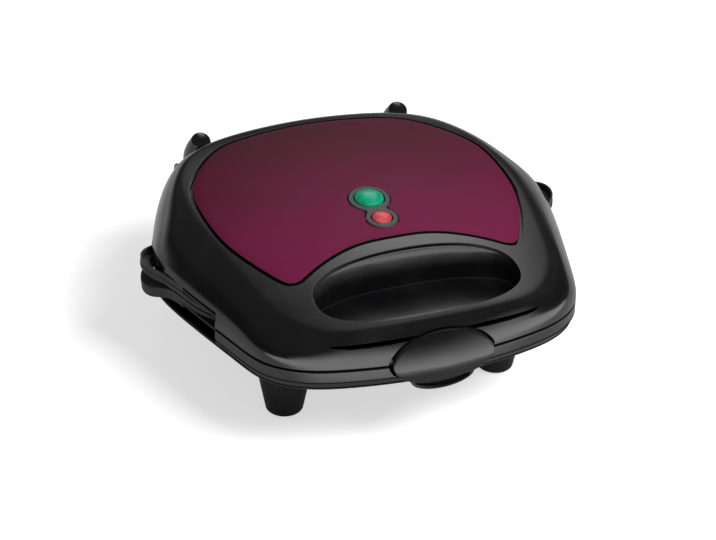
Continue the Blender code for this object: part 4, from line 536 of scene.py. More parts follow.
def egg(half_width, middle, back, front, back_power, front_power, count):
    """A rounded loop whose back and front halves have their own depth and squareness."""
    found = []
    for i in range(count):
        turn = math.tau * i / count
        across, along = math.cos(turn), math.sin(turn)
        power, reach = (back_power, back) if along > 0 else (front_power, front)
        x = math.copysign(abs(across) ** (2 / power), across) * half_width
        y = middle + math.copysign(abs(along) ** (2 / power), along) * reach
        found.append(Vector((x, y)))
    return even_loop(found, count)


def even_loop(points, count):
    """The same closed loop with points at even distances."""
    ends = points + points[:1]
    lengths = np.cumsum([0.0] + [(b - a).length for a, b in zip(ends, ends[1:])])
    places = np.linspace(0.0, lengths[-1], count, endpoint=False)
    xs = np.interp(places, lengths, [point.x for point in ends])
    ys = np.interp(places, lengths, [point.y for point in ends])
    return [Vector((x, y)) for x, y in zip(xs, ys)]


def crown(x, y):
    """Height of the lid's crowned top."""
    return PEAK_HEIGHT - (x**2 + (y - PEAK_BACK) ** 2) / (2 * CROWN_RADIUS)


def crown_frame(y, height=0.0):
    """A place on the crown's centre line, with Z along its normal."""
    tilt = math.atan((y - PEAK_BACK) / CROWN_RADIUS)
    return (
        Matrix.Translation((0.0, y, crown(0.0, y)))
        @ Matrix.Rotation(-tilt, 4, "X")
        @ Matrix.Translation((0.0, 0.0, height))
    )


def level(loop, height):
    return [Vector((*place, height)) for place in loop]


def draped(loop, offset):
    return [Vector((*place, crown(*place) + offset)) for place in loop]


def rounding(radius, steps=EDGE_STEPS):
    """Pairs of inset and rise round a quarter circle, from its flat end to its upright end."""
    for i in range(steps + 1):
        turn = math.pi / 2 * i / steps
        yield radius * (1 - math.sin(turn)), radius * (1 - math.cos(turn))


EDGES = list(rounding(EDGE))
FINE_EDGES = list(rounding(FINE_EDGE))
EYE_EDGES = list(rounding(EYE_EDGE))


def arc(middle, radius, start, end, steps):
    """Points round a part of a circle."""
    turns = [start + (end - start) * i / steps for i in range(steps + 1)]
    return [(middle[0] + radius * math.cos(turn), middle[1] + radius * math.sin(turn)) for turn in turns]


def box(name, low, high, edge=0.0):
    bm = bmesh.new()
    bmesh.ops.create_cube(bm, size=1.0)
    low, high = Vector(low), Vector(high)
    bmesh.ops.scale(bm, vec=high - low, verts=bm.verts)
    bmesh.ops.translate(bm, vec=(low + high) / 2, verts=bm.verts)
    if edge:
        bmesh.ops.bevel(bm, geom=bm.edges[:], offset=edge, segments=3, profile=0.5, affect="EDGES")
    return from_bmesh(name, bm)


def turned(name, profile, steps=ROUND_TURN, place=Matrix()):
    """A closed profile of radius and height turned about its own Z. It may start and end on the axis."""
    bm = bmesh.new()
    rows = []
    for radius, height in profile:
        if radius == 0.0:
            rows.append([bm.verts.new((0.0, 0.0, height))])
        else:
            turns = [math.tau * i / steps for i in range(steps)]
            rows.append([bm.verts.new((radius * math.cos(turn), radius * math.sin(turn), height)) for turn in turns])
    pairs = list(zip(rows, rows[1:]))
    if len(rows[0]) > 1:
        pairs.append((rows[-1], rows[0]))
    for low, high in pairs:
        for i in range(steps):
            j = (i + 1) % steps
            corners = [low[i % len(low)], low[j % len(low)], high[j % len(high)], high[i % len(high)]]
            corners = list(dict.fromkeys(corners))
            if len(corners) > 2:
                bm.faces.new(corners)
    bmesh.ops.transform(bm, matrix=place, verts=bm.verts)
    return from_bmesh(name, bm)


def aimed(place, along):
    """A matrix at the place, with Z along the direction."""
    return Matrix.Translation(place) @ along.to_track_quat("Z", "X").to_matrix().to_4x4()


def rod(name, start, end, radius, steps=SMALL_TURN, edge=0.0):
    """A round bar from one point to another, its ends rounded."""
    start, end = Vector(start), Vector(end)
    along = end - start
    ends = list(rounding(edge)) if edge else [(0.0, 0.0)]
    profile = [(radius - shrink, rise) for shrink, rise in ends]
    profile += [(radius - shrink, along.length - rise) for shrink, rise in reversed(ends)]
    return turned(name, [(0.0, 0.0), *profile, (0.0, along.length)], steps, aimed(start, along))


def cross_rod(name, x, half, y, z, radius, steps=SMALL_TURN, edge=0.0):
    """A round bar along X, half its length to each side of a middle."""
    return rod(name, (x - half, y, z), (x + half, y, z), radius, steps, edge)


def wound(outline, forwards):
    """The outline in the sense that a rounded slab needs: its outside one way and its holes the other."""
    area = sum(a[0] * b[1] - b[0] * a[1] for a, b in zip(outline, outline[1:] + outline[:1]))
    return outline if (area > 0) == forwards else outline[::-1]


def slab(name, outlines, low, high, edge=0.0, turn=None):
    """A flat outline, with holes if there are more, between two heights, its edges rounded."""
    curve = bpy.data.curves.new(name, "CURVE")
    curve.dimensions = "2D"
    curve.fill_mode = "BOTH"
    curve.extrude = (high - low) / 2 - edge
    curve.bevel_depth = edge
    curve.bevel_resolution = 2
    curve.offset = -edge
    for k, outline in enumerate(outlines):
        outline = wound(outline, k == 0)
        spline = curve.splines.new("POLY")
        spline.points.add(len(outline) - 1)
        for point, place in zip(spline.points, outline):
            point.co = (place[0], place[1], 0.0, 1.0)
        spline.use_cyclic_u = True
    lift = Matrix.Translation((0.0, 0.0, (low + high) / 2))
    return curve_solid(name, curve, (turn or Matrix()) @ lift)


def curve_solid(name, curve, place=Matrix()):
    """The curve as a mesh with its caps welded, moved to its place."""
    guide = linked(name + "_guide", curve)
    graph = bpy.context.evaluated_depsgraph_get()
    mesh = bpy.data.meshes.new_from_object(guide.evaluated_get(graph))
    bpy.data.objects.remove(guide)
    bm = bmesh.new()
    bm.from_mesh(mesh)
    bpy.data.meshes.remove(mesh)
    bmesh.ops.remove_doubles(bm, verts=bm.verts, dist=MERGE)
    bmesh.ops.transform(bm, matrix=place, verts=bm.verts)
    return from_bmesh(name, bm)


def tube(name, points, radii, sides=SMALL_TURN):
    """A round tube along the points, with its own radius at each."""
    points = [Vector(point) for point in points]
    rings = []
    for i, point in enumerate(points):
        along = points[min(i + 1, len(points) - 1)] - points[max(i - 1, 0)]
        turn = along.to_track_quat("Z", "X").to_matrix()
        ring = []
        for k in range(sides):
            angle = math.tau * k / sides
            ring.append(point + turn @ Vector((math.cos(angle), math.sin(angle), 0.0)) * radii[i])
        rings.append(ring)
    return loft(name, rings)


FRONT_TURN = Matrix(((1, 0, 0, 0), (0, 0, -1, 0), (0, 1, 0, 0), (0, 0, 0, 1)))
SIDE_TURN = Matrix(((0, 0, 1, 0), (1, 0, 0, 0), (0, 1, 0, 0), (0, 0, 0, 1)))


def front_slab(name, outline, front, back, edge=0.0):
    """An outline in X and Z between two places along Y."""
    return slab(name, [outline], -back, -front, edge, FRONT_TURN)


def side_slab(name, outline, left, right, edge=0.0, place=Matrix()):
    """An outline in Y and Z between two places along X."""
    return slab(name, [outline], left, right, edge, place @ SIDE_TURN)


def both_sides(spread):
    return (("left", -spread), ("right", spread))


def in_rows(front, rear):
    """Four named places, a left and a right one in a front and a rear row, each row given as spread and Y."""
    rows = (("front", front), ("rear", rear))
    return [(f"{row}_{side}", x, y) for row, (spread, y) in rows for side, x in both_sides(spread)]


FEET = in_rows((FOOT_SPREAD, FOOT_FRONT), (FOOT_SPREAD, FOOT_REAR))
POSTS = in_rows((POST_SPREAD, POST_FRONT), (POST_SPREAD, POST_BACK))
SCREWS = in_rows(
    (FRONT_SCREW_shares[0] * HALF_WIDTH, FRONT_SCREW_shares[1] * FRONT_REACH),
    (REAR_SCREW_shares[0] * HALF_WIDTH, REAR_SCREW_shares[1] * REAR_REACH),
)


def mirrored_height(half, depth):
    """Height of a depth from the parting plane, on the upper or the lower half."""
    return PARTING + depth if half == "upper" else PARTING - depth


def heights(half, near, far):
    """Two depths from the parting plane as heights, the lower one first."""
    return sorted((mirrored_height(half, near), mirrored_height(half, far)))


def level_slab(name, outlines, half, near, far, edge=0.0):
    return slab(name, outlines, *heights(half, near, far), edge)


def level_box(name, half, low, high, near, far, edge=0.0):
    bottom, top = heights(half, near, far)
    return box(name, (*low, bottom), (*high, top), edge)


PIN_LOW, PIN_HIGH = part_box("hinge_pin_left")
SHIFT = Matrix.Translation((0.0, (PIN_LOW[1] + PIN_HIGH[1]) / 2 - HINGE_Y, 0.0))


def piece(obj, name, finish, body, replaced, flat=False):
    """Finishes a piece: moves it into the frame, smooths it and hands it to its body."""
    mesh = obj.data
    mesh.transform(SHIFT)
    bm = bmesh.new()
    bm.from_mesh(mesh)
    bmesh.ops.remove_doubles(bm, verts=bm.verts, dist=SLIVER)
    bm.to_mesh(mesh)
    bm.free()
    obj.name = mesh.name = name
    mesh.shade_smooth()
    mesh.set_sharp_from_angle(angle=SHARP_ANGLE)
    if flat:
        modifier = obj.modifiers.new("even", "WEIGHTED_NORMAL")
        modifier.keep_sharp = True
        modifier.weight = FACE_WEIGHT
        obj = baked(obj)
        obj.name = obj.data.name = name
        mesh = obj.data
    mesh.materials.clear()
    mesh.materials.append(finish.material)
    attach(obj, body)
    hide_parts(*replaced)
    return obj


class Wire:
    """A socket in a node tree, so that its maths reads as plain arithmetic."""

    def __init__(self, tree, socket):
        self.tree, self.socket = tree, socket

    def node(self, kind, settings=None, inputs=None, out=0):
        """A new node: its settings first, then its sockets' values or links."""
        values = {name: value.socket if isinstance(value, Wire) else value for name, value in (inputs or {}).items()}
        return Wire(self.tree, add_node(self.tree, kind, values, **(settings or {})).outputs[out])

    def maths(self, operation, first, second=0.0):
        return self.node("ShaderNodeMath", {"operation": operation}, {0: first, 1: second})

    def __add__(self, other):
        return self.maths("ADD", self, other)

    def __sub__(self, other):
        return self.maths("SUBTRACT", self, other)

    def __rsub__(self, other):
        return self.maths("SUBTRACT", other, self)

    def __mul__(self, other):
        return self.maths("MULTIPLY", self, other)

    def __truediv__(self, other):
        return self.maths("DIVIDE", self, other)

    def __pow__(self, other):
        return self.maths("POWER", self, other)

    def __abs__(self):
        return self.maths("ABSOLUTE", self)

    __radd__, __rmul__ = __add__, __mul__

    def axis(self, name):
        return self.node("ShaderNodeSeparateXYZ", None, {"Vector": self}, name)

    def clamped(self):
        return self.node("ShaderNodeClamp", None, {"Value": self})

    def between(self, low, high):
        """0 below low, 1 above high, and a soft step between them."""
        settings = {"interpolation_type": "SMOOTHSTEP"}
        return self.node("ShaderNodeMapRange", settings, {"Value": self, "From Min": low, "From Max": high})

    def stretched(self, scale):
        return self.node("ShaderNodeMapping", None, {"Vector": self, "Scale": scale})

    def noise(self, scale, detail=2.0, roughness=0.5):
        inputs = {"Vector": self, "Scale": scale, "Detail": detail, "Roughness": roughness}
        return self.node("ShaderNodeTexNoise", None, inputs, "Fac")

    def cells(self, scale):
        return self.node("ShaderNodeTexVoronoi", None, {"Vector": self, "Scale": scale}, "Distance")

    def blend(self, low, high):
        """A colour between two colours or wires, by this share."""
        return self.node("ShaderNodeMix", {"data_type": "RGBA"}, {"Factor": self, 6: low, 7: high}, 2)

    def tint(self, low, high):
        return self.blend((*low, 1.0), (*high, 1.0))


def new_tree(name, inputs):
    """An empty Geometry Nodes tree with a geometry in and out, and named inputs after it."""
    tree = bpy.data.node_groups.new(name, "GeometryNodeTree")
    tree.interface.new_socket("Geometry", in_out="INPUT", socket_type="NodeSocketGeometry")
    for label, kind in inputs:
        tree.interface.new_socket(label, in_out="INPUT", socket_type=f"NodeSocket{kind}")
    tree.interface.new_socket("Geometry", in_out="OUTPUT", socket_type="NodeSocketGeometry")
    return tree, tree.nodes.new("NodeGroupInput"), tree.nodes.new("NodeGroupOutput")


def add_node(tree, kind, inputs=None, **settings):
    """A node with its settings first and then its sockets, each a value or another node's socket."""
    node = tree.nodes.new(kind)
    for name, value in settings.items():
        setattr(node, name, value)
    for name, value in (inputs or {}).items():
        socket = node.inputs[name]
        if isinstance(value, bpy.types.NodeSocket):
            tree.links.new(value, socket)
        else:
            socket.default_value = value
    return node


def finish_tree(tree, source, out, geometry):
    """Ends a tree: its instances made real and its finish set."""
    real = add_node(tree, "GeometryNodeRealizeInstances", {"Geometry": geometry})
    done = add_node(tree, "GeometryNodeSetMaterial", {
        "Geometry": real.outputs["Geometry"], "Material": source.outputs["Finish"],
    })
    tree.links.new(done.outputs["Geometry"], out.inputs["Geometry"])


def grown(obj, tree, values):
    """The object with the tree's result baked in, its named inputs set by their identifiers."""
    modifier = obj.modifiers.new(tree.name, "NODES")
    modifier.node_group = tree
    for item in tree.interface.items_tree:
        if item.in_out == "INPUT" and item.name in values:
            modifier[item.identifier] = values[item.name]
    return baked(obj)


def repeat_tree():
    """Copies of a pattern at a mesh's points, each turned about Z by a random angle."""
    tree, source, out = new_tree("repeat_at_points", (
        ("Pattern", "Object"), ("Most Turn", "Float"), ("Seed", "Int"), ("Finish", "Material"),
    ))
    pattern = add_node(tree, "GeometryNodeObjectInfo", {"Object": source.outputs["Pattern"]})
    turn = add_node(tree, "FunctionNodeRandomValue", {
        "Max": source.outputs["Most Turn"], "Seed": source.outputs["Seed"],
    }, data_type="FLOAT")
    upright = add_node(tree, "ShaderNodeCombineXYZ", {"Z": turn.outputs["Value"]})
    copies = add_node(tree, "GeometryNodeInstanceOnPoints", {
        "Points": source.outputs["Geometry"], "Instance": pattern.outputs["Geometry"],
        "Rotation": upright.outputs["Vector"],
    })
    finish_tree(tree, source, out, copies.outputs["Instances"])
    return tree


def crown_tree():
    """Lays a flat piece over the lid's crown: a paraboloid that drops away from its peak."""
    tree, source, out = new_tree("lay_on_crown", (
        ("Peak Height", "Float"), ("Peak Back", "Float"), ("Crown Radius", "Float"), ("Finish", "Material"),
    ))

    place = Wire(tree, tree.nodes.new("GeometryNodeInputPosition").outputs["Position"])
    peak, back, radius = (Wire(tree, source.outputs[name]) for name in ("Peak Height", "Peak Back", "Crown Radius"))
    across, behind = place.axis("X"), place.axis("Y") - back
    height = peak - (across * across + behind * behind) / (radius * 2.0)
    lift = add_node(tree, "ShaderNodeCombineXYZ", {"Z": height.socket})
    laid = add_node(tree, "GeometryNodeSetPosition", {
        "Geometry": source.outputs["Geometry"], "Offset": lift.outputs["Vector"],
    })
    finish_tree(tree, source, out, laid.outputs["Geometry"])
    return tree


def coil_tree():
    """A round wire wound evenly along Z."""
    tree, source, out = new_tree("wind_coil", (
        ("Turns", "Float"), ("Coil Radius", "Float"), ("Wire Radius", "Float"), ("Length", "Float"),
        ("Finish", "Material"),
    ))
    line = add_node(tree, "GeometryNodeCurveSpiral", {
        "Resolution": COIL_STEPS, "Rotations": source.outputs["Turns"],
        "Start Radius": source.outputs["Coil Radius"], "End Radius": source.outputs["Coil Radius"],
        "Height": source.outputs["Length"],
    })
    wire = add_node(tree, "GeometryNodeCurvePrimitiveCircle", {
        "Resolution": COIL_STEPS // 2, "Radius": source.outputs["Wire Radius"],
    })
    coil = add_node(tree, "GeometryNodeCurveToMesh", {
        "Curve": line.outputs["Curve"], "Profile Curve": wire.outputs["Curve"], "Fill Caps": True,
    })
    finish_tree(tree, source, out, coil.outputs["Mesh"])
    return tree


COIL_STEPS = 24
REPEAT, LAY, COIL = repeat_tree(), crown_tree(), coil_tree()


def set_out(pattern, name, finish, seed, body, prefix, places, height):
    """The pattern at each named place, each turned by chance, as one piece."""
    mesh = bpy.data.meshes.new("places")
    mesh.from_pydata([(x, y, height) for _, x, y in places], [], [])
    values = {"Pattern": pattern, "Most Turn": math.tau, "Seed": seed, "Finish": finish.material}
    result = grown(linked("places", mesh), REPEAT, values)
    bpy.data.objects.remove(pattern)
    piece(result, name, finish, body, [f"{prefix}_{place}" for place, _, _ in places])


def laid_on_crown(plate, finish):
    values = {
        "Peak Height": PEAK_HEIGHT, "Peak Back": PEAK_BACK, "Crown Radius": CROWN_RADIUS, "Finish": finish.material,
    }
    return grown(plate, LAY, values)


def coiled(turns, radius, wire, length, place, finish):
    values = {
        "Turns": turns, "Coil Radius": radius, "Wire Radius": wire, "Length": length, "Finish": finish.material,
    }
    coil = grown(linked("coil", bpy.data.meshes.new("coil")), COIL, values)
    coil.data.transform(place)
    return coil


class Finish:
    """A material and the record's slot that it stands for."""

    def __init__(self, slot, colour, roughness, **fixed):
        self.slot = slot
        self.material = bpy.data.materials.new(slot)
        self.material.use_nodes = True
        self.tree = self.material.node_tree
        self.shader = next(node for node in self.tree.nodes if node.type == "BSDF_PRINCIPLED")
        self.place = Wire(self.tree, self.tree.nodes.new("ShaderNodeTexCoord").outputs["Object"])
        self.set("Base Color", (*colour, 1.0))
        self.set("Roughness", roughness)
        for name, value in fixed.items():
            self.set(name.replace("_", " "), value)

    def set(self, name, value):
        socket = self.shader.inputs[name]
        if isinstance(value, Wire):
            self.tree.links.new(value.socket, socket)
        else:
            socket.default_value = value

    def bump(self, height, distance, strength=1.0):
        inputs = {"Height": height, "Distance": distance, "Strength": strength}
        self.set("Normal", height.node("ShaderNodeBump", None, inputs, "Normal"))


def well_mask(place):
    """1 inside the finger well, whose walls are spark-eroded, and 0 on the polished outside; it also bounds the painted
    highlight on the well's upper walls.
    """
    across = abs(place.axis("X") / (WELL_HALF_WIDTH + WELL_MOUTH))
    along = abs((place.axis("Y") - WELL_MIDDLE - SHIFT.translation.y) / (WELL_BACK + WELL_LIP))
    inside = 1.0 - (across ** WELL_SQUARENESS + along ** WELL_SQUARENESS).between(*WELL_EDGE_shares)
    above = place.axis("Z").between(WELL_CEILING, WELL_CEILING + WELL_MOUTH)
    return inside * (1.0 - above)


def gloss_black():
    """Glossy moulded plastic: a faint orange peel, slight haze patches and a few fine hairlines, with a painted
    highlight on the finger well's upper walls.
    """
    black = Finish("gloss_black", (0.004, 0.004, 0.0046), 0.16, Coat_Roughness=0.08, Specular_IOR_Level=0.75)
    place = black.place
    well = well_mask(place)
    haze = place.noise(38.0, 3.0).between(0.42, 0.72)
    hairs = place.stretched((9.0, 900.0, 900.0)).noise(1.0, 2.0).between(0.69, 0.74)
    hairs = hairs + place.stretched((700.0, 12.0, 700.0)).noise(1.0, 2.0).between(0.7, 0.75)
    dust = 1.0 - place.cells(420.0).between(0.02, 0.06)
    dust = dust * place.noise(70.0).between(0.54, 0.62)
    black.set("Roughness", 0.14 + 0.04 * haze + 0.05 * hairs + 0.1 * dust + 0.06 * well)
    black.set("Coat Weight", (0.8 - 0.2 * haze) * (1.0 - 0.3 * well))
    # Painted highlight: the finger well's upper walls get a lighter base colour that stands in for the reflection on
    # the well's shoulder; pale mixes it with the real haze and dust.
    rubbed = well * place.axis("Z").between(WELL_CEILING - WELL_SHOULDER, WELL_CEILING) * (0.8 + 0.2 * haze)
    pale = (haze * 0.1 + dust * 0.25 + rubbed).clamped()
    black.set("Base Color", pale.tint((0.0035, 0.0034, 0.004), (0.042, 0.0405, 0.039)))
    black.bump(place.noise(150.0, 3.0, 0.45), 0.00004)
    return black


def moulded(slot, dark, light, roughness, grain, depth):
    """Matt moulded plastic or rubber with a spark-eroded grain."""
    finish = Finish(slot, dark, roughness)
    place = finish.place
    grains = place.noise(grain, 4.0, 0.6)
    scuffs = place.stretched((160.0, 160.0, 30.0)).noise(1.0, 4.0).between(0.6, 0.78)
    patches = place.noise(60.0, 2.0).between(0.35, 0.7)
    finish.set("Base Color", (0.6 * patches + 0.4 * scuffs).tint(dark, light))
    finish.set("Roughness", roughness + 0.1 * (grains - 0.5) - 0.08 * scuffs)
    finish.bump(grains, depth)
    return finish


def bright_steel():
    """Zinc-bright steel with fine marks and dull stains."""
    steel = Finish("bright_steel", (0.56, 0.555, 0.545), 0.26, Metallic=1.0)
    place = steel.place
    marks = place.noise(2600.0, 2.0)
    stains = place.noise(220.0, 4.0).between(0.5, 0.75)
    steel.set("Base Color", stains.tint((0.6, 0.595, 0.58), (0.38, 0.36, 0.33)))
    steel.set("Roughness", 0.2 + 0.14 * marks + 0.14 * stains)
    steel.bump(marks, 0.00001)
    return steel


def aluminium_sheet():
    """Rolled aluminium: long rolling lines, and a yellow-brown bloom of heat."""
    sheet = Finish("aluminium_sheet", (0.7, 0.7, 0.69), 0.32, Metallic=1.0)
    place = sheet.place
    lines = place.stretched((20.0, 1500.0, 1500.0)).noise(1.0, 3.0)
    bloom = place.noise(26.0, 3.0).between(0.42, 0.68)
    sheet.set("Base Color", bloom.tint((0.72, 0.72, 0.71), (0.5, 0.44, 0.35)))
    sheet.set("Roughness", 0.24 + 0.2 * lines + 0.1 * bloom)
    sheet.bump(lines, 0.000015)
    return sheet


def element_sheath():
    """The heating tube's oxidised metal sheath."""
    sheath = Finish("element_sheath", (0.11, 0.1, 0.095), 0.55, Metallic=0.7)
    place = sheath.place
    scale = place.noise(500.0, 4.0, 0.65)
    bands = place.noise(60.0, 3.0).between(0.4, 0.65)
    sheath.set("Base Color", bands.tint((0.1, 0.094, 0.092), (0.19, 0.145, 0.11)))
    sheath.set("Roughness", 0.45 + 0.25 * scale)
    sheath.bump(scale, 0.00004)
    return sheath


def coated_plate():
    """Non-stick coat on cast metal: a dark grey skin with a fine grain and tiny bright specks."""
    coat = Finish("coated_plate", (0.03, 0.03, 0.032), 0.42, Specular_IOR_Level=0.6)
    place = coat.place
    grain = place.noise(1500.0, 3.0, 0.6)
    lumps = place.noise(420.0, 2.0)
    specks = 1.0 - place.cells(1300.0).between(0.1, 0.17)
    specks = specks * place.noise(800.0).between(0.55, 0.6)
    wear = place.noise(34.0, 4.0).between(0.5, 0.7)
    coat.set("Base Color", (specks + 0.1 * wear).clamped().tint((0.027, 0.027, 0.029), (0.12, 0.12, 0.125)))
    coat.set("Roughness", 0.44 + 0.14 * (grain - 0.5) - 0.08 * wear)
    coat.bump(0.7 * grain + 0.6 * lumps, 0.00007)
    return coat


def ceramic():
    """Fired electrical ceramic, slightly uneven and speckled."""
    fired = Finish("ceramic", (0.68, 0.65, 0.58), 0.5)
    place = fired.place
    mottle = place.noise(300.0, 4.0, 0.6)
    specks = 1.0 - place.cells(900.0).between(0.08, 0.14)
    fired.set("Base Color", (0.5 * mottle + 0.5 * specks).tint((0.72, 0.69, 0.62), (0.4, 0.36, 0.3)))
    fired.set("Roughness", 0.42 + 0.2 * mottle)
    fired.bump(mottle, 0.00004)
    return fired


def maroon_insert():
    """Satin paint in dark maroon with a fine metallic grain; a painted sheen makes it lighter towards the front, and
    its side faces are painted black as painted shade in the groove round it.
    """
    paint = Finish("maroon_insert", (0.12, 0.01, 0.042), 0.4, Specular_IOR_Level=0.12)
    place = paint.place
    grain = place.noise(1900.0, 3.0, 0.6)
    flakes = 1.0 - place.cells(2300.0).between(0.1, 0.3)
    cloud = place.noise(30.0, 3.0).between(0.3, 0.7)
    rubbed = place.stretched((14.0, 420.0, 420.0)).noise(1.0, 3.0).between(0.62, 0.8)
    # Painted sheen: the paint is made lighter towards the front, where the insert's satin reflection would brighten it.
    front = 1.0 - place.axis("Y").between(-0.09, 0.1)
    tone = (0.75 * front + 0.12 * cloud + 0.13 * flakes).clamped()
    # Painted shade: the side faces are coloured black so that the narrow groove round the insert reads dark.
    face = Wire(paint.tree, place.socket.node.outputs["Normal"]).axis("Z").between(0.6, 0.85)
    colour = tone.tint((0.06, 0.006, 0.0145), (0.168, 0.0105, 0.0575))
    paint.set("Base Color", face.blend((0.004, 0.0035, 0.004, 1.0), colour))
    paint.set("Roughness", 0.38 + 0.1 * (grain - 0.5) + 0.05 * cloud - 0.05 * rubbed)
    paint.bump(grain, 0.00003)
    return paint


def grey_bezel():
    """Satin grey plastic with a fine even grain."""
    grey = Finish("grey_bezel", (0.062, 0.072, 0.066), 0.4, Specular_IOR_Level=0.4)
    place = grey.place
    grain = place.noise(1700.0, 3.0, 0.6)
    cloud = place.noise(90.0, 3.0)
    grey.set("Base Color", cloud.tint((0.052, 0.062, 0.056), (0.07, 0.08, 0.074)))
    grey.set("Roughness", 0.36 + 0.12 * grain)
    grey.bump(grain, 0.00002)
    return grey


def lens_colour(slot, deep, bright, glow):
    """Tinted clear plastic, finely faceted and a little cloudy, with a faint painted glow."""
    # Painted glow: a weak emission in the lens's own colour, though the lens is no lamp.
    lens = Finish(
        slot, bright, 0.16, IOR=1.49, Transmission_Weight=0.2, Coat_Weight=0.2, Coat_Roughness=0.08,
        Subsurface_Weight=0.35, Subsurface_Radius=tuple(0.4 + part for part in bright), Subsurface_Scale=0.0015,
        Emission_Strength=glow,
    )
    place = lens.place
    ribs = place.cells(1100.0)
    cloud = place.noise(240.0, 2.0).between(0.3, 0.7)
    tone = (0.6 * cloud + 0.4 * ribs.between(0.1, 0.5)).clamped()
    lens.set("Base Color", tone.tint(deep, bright))
    lens.set("Emission Color", tone.tint(deep, bright))
    lens.set("Roughness", 0.1 + 0.06 * cloud)
    lens.bump(ribs, 0.000025, 0.5)
    return lens


def lamp_glass():
    """The neon lamps' clear glass, a little smoked."""
    glass = Finish("lamp_glass", (0.86, 0.84, 0.8), 0.05, IOR=1.5, Transmission_Weight=0.85)
    smoke = glass.place.noise(500.0, 3.0).between(0.4, 0.8)
    glass.set("Base Color", smoke.tint((0.88, 0.86, 0.82), (0.6, 0.5, 0.42)))
    glass.set("Roughness", 0.04 + 0.12 * smoke)
    return glass


BLACK = gloss_black()
DARK = moulded("dark_plastic", (0.014, 0.0135, 0.0145), (0.026, 0.0255, 0.027), 0.3, 900.0, 0.00003)
RUBBER = moulded("rubber", (0.011, 0.011, 0.011), (0.02, 0.02, 0.02), 0.78, 1300.0, 0.00006)
HEATPROOF = moulded("heatproof_plastic", (0.014, 0.0125, 0.0115), (0.03, 0.026, 0.023), 0.5, 1100.0, 0.00005)
STEEL = bright_steel()
SHEET = aluminium_sheet()
SHEATH = element_sheath()
COATED = coated_plate()
CERAMIC = ceramic()
MAROON = maroon_insert()
GREY = grey_bezel()
# Both lenses get a painted glow of 0.08.
GREEN = lens_colour("green_lens", (0.001, 0.24, 0.12), (0.004, 0.42, 0.22), 0.08)
RED = lens_colour("red_lens", (0.42, 0.03, 0.04), (0.68, 0.1, 0.12), 0.08)
LAMP = lamp_glass()


def rim_loop(steps=LOOP_STEPS):
    return symmetric_loop(RIM_shares, HALF_WIDTH, FRONT_REACH, REAR_REACH, steps)


def ridge_loop(steps=LOOP_STEPS):
    return symmetric_loop(RIDGE_shares, RIDGE_HALF_WIDTH, RIDGE_FRONT, RIDGE_REAR, steps)


def trim_loop():
    return symmetric_loop(TRIM_shares, TRIM_HALF_WIDTH, TRIM_FRONT, TRIM_REAR)


def plate_loop(grow=0.0, count=3 * PLATE_POINTS):
    return egg(
        PLATE_HALF_WIDTH + grow, PLATE_MIDDLE, PLATE_HALF_DEPTH + grow, PLATE_HALF_DEPTH + grow,
        PLATE_REAR_SQUARENESS, PLATE_FRONT_SQUARENESS, count,
    )


def well_loop(grow, lip, mouth=0.0):
    return egg(
        WELL_HALF_WIDTH + grow + mouth, WELL_MIDDLE, WELL_BACK + grow + lip + mouth, WELL_FRONT + grow + mouth,
        WELL_SQUARENESS, WELL_SQUARENESS, 4 * WELL_POINTS,
    )


def lid_rings(shrink, drop, below, skirt, tops, steps=LOOP_STEPS):
    """Rings of the lid from its rim up to the crown, drawn in by shrink and lowered by drop."""
    bottom = PARTING + RIM_GAP / 2
    rim = inset(rim_loop(steps), shrink)
    ridge = inset(ridge_loop(steps), shrink)
    rings = [level(rim, bottom - below)] if below else []
    for inward, upward in skirt:
        ring = []
        for low, high in zip(rim, ridge):
            place = low.lerp(high, inward)
            top = crown(high.x, high.y) - drop
            ring.append(Vector((place.x, place.y, bottom + (top - bottom) * upward)))
        rings.append(ring)
    return rings + [drawn_to_peak(ridge, share, -drop) for share in tops]


def drawn_to_peak(loop, share, offset):
    """The loop drawn in towards the crown's peak and laid on it."""
    return draped([(place.x * share, PEAK_BACK + (place.y - PEAK_BACK) * share) for place in loop], offset)


def lid_shell():
    """The lid's outside: a flared skirt at the sides that becomes a rounded roll over the front."""
    bottom = PARTING + RIM_GAP / 2
    rim, ridge = rim_loop(), ridge_loop()
    rolled = inset(ridge, FRONT_ROLL)
    fronts = [front_share(place) for place in rim]
    highs = [high.lerp(inner, front) for high, inner, front in zip(ridge, rolled, fronts)]
    rings = []
    for side, bow in zip(SKIRT_shares, FRONT_SKIRT_shares):
        ring = []
        for low, high, front in zip(rim, highs, fronts):
            inward, upward = (a + (b - a) * front for a, b in zip(side, bow))
            top = crown(high.x, high.y)
            ring.append(Vector((*low.lerp(high, inward), bottom + (top - bottom) * upward)))
        rings.append(ring)
    for share in SMOOTH_TOP_shares:
        rings.append(drawn_to_peak(highs, share, 0.0))
    foot = [level(inset(rim, shrink), bottom + rise) for shrink, rise in EDGES]
    return loft("upper_casing", foot + softened(rings)[1:], end=(0.0, PEAK_BACK, PEAK_HEIGHT))


def front_share(place):
    """How far round to the front a place on the rim lies: 0 at the sides and back, 1 at the front."""
    share = max(0.0, min(1.0, (-place.y / FRONT_REACH - FRONT_TURN_START) / (1.0 - FRONT_TURN_START)))
    return share * share * (3.0 - 2.0 * share)


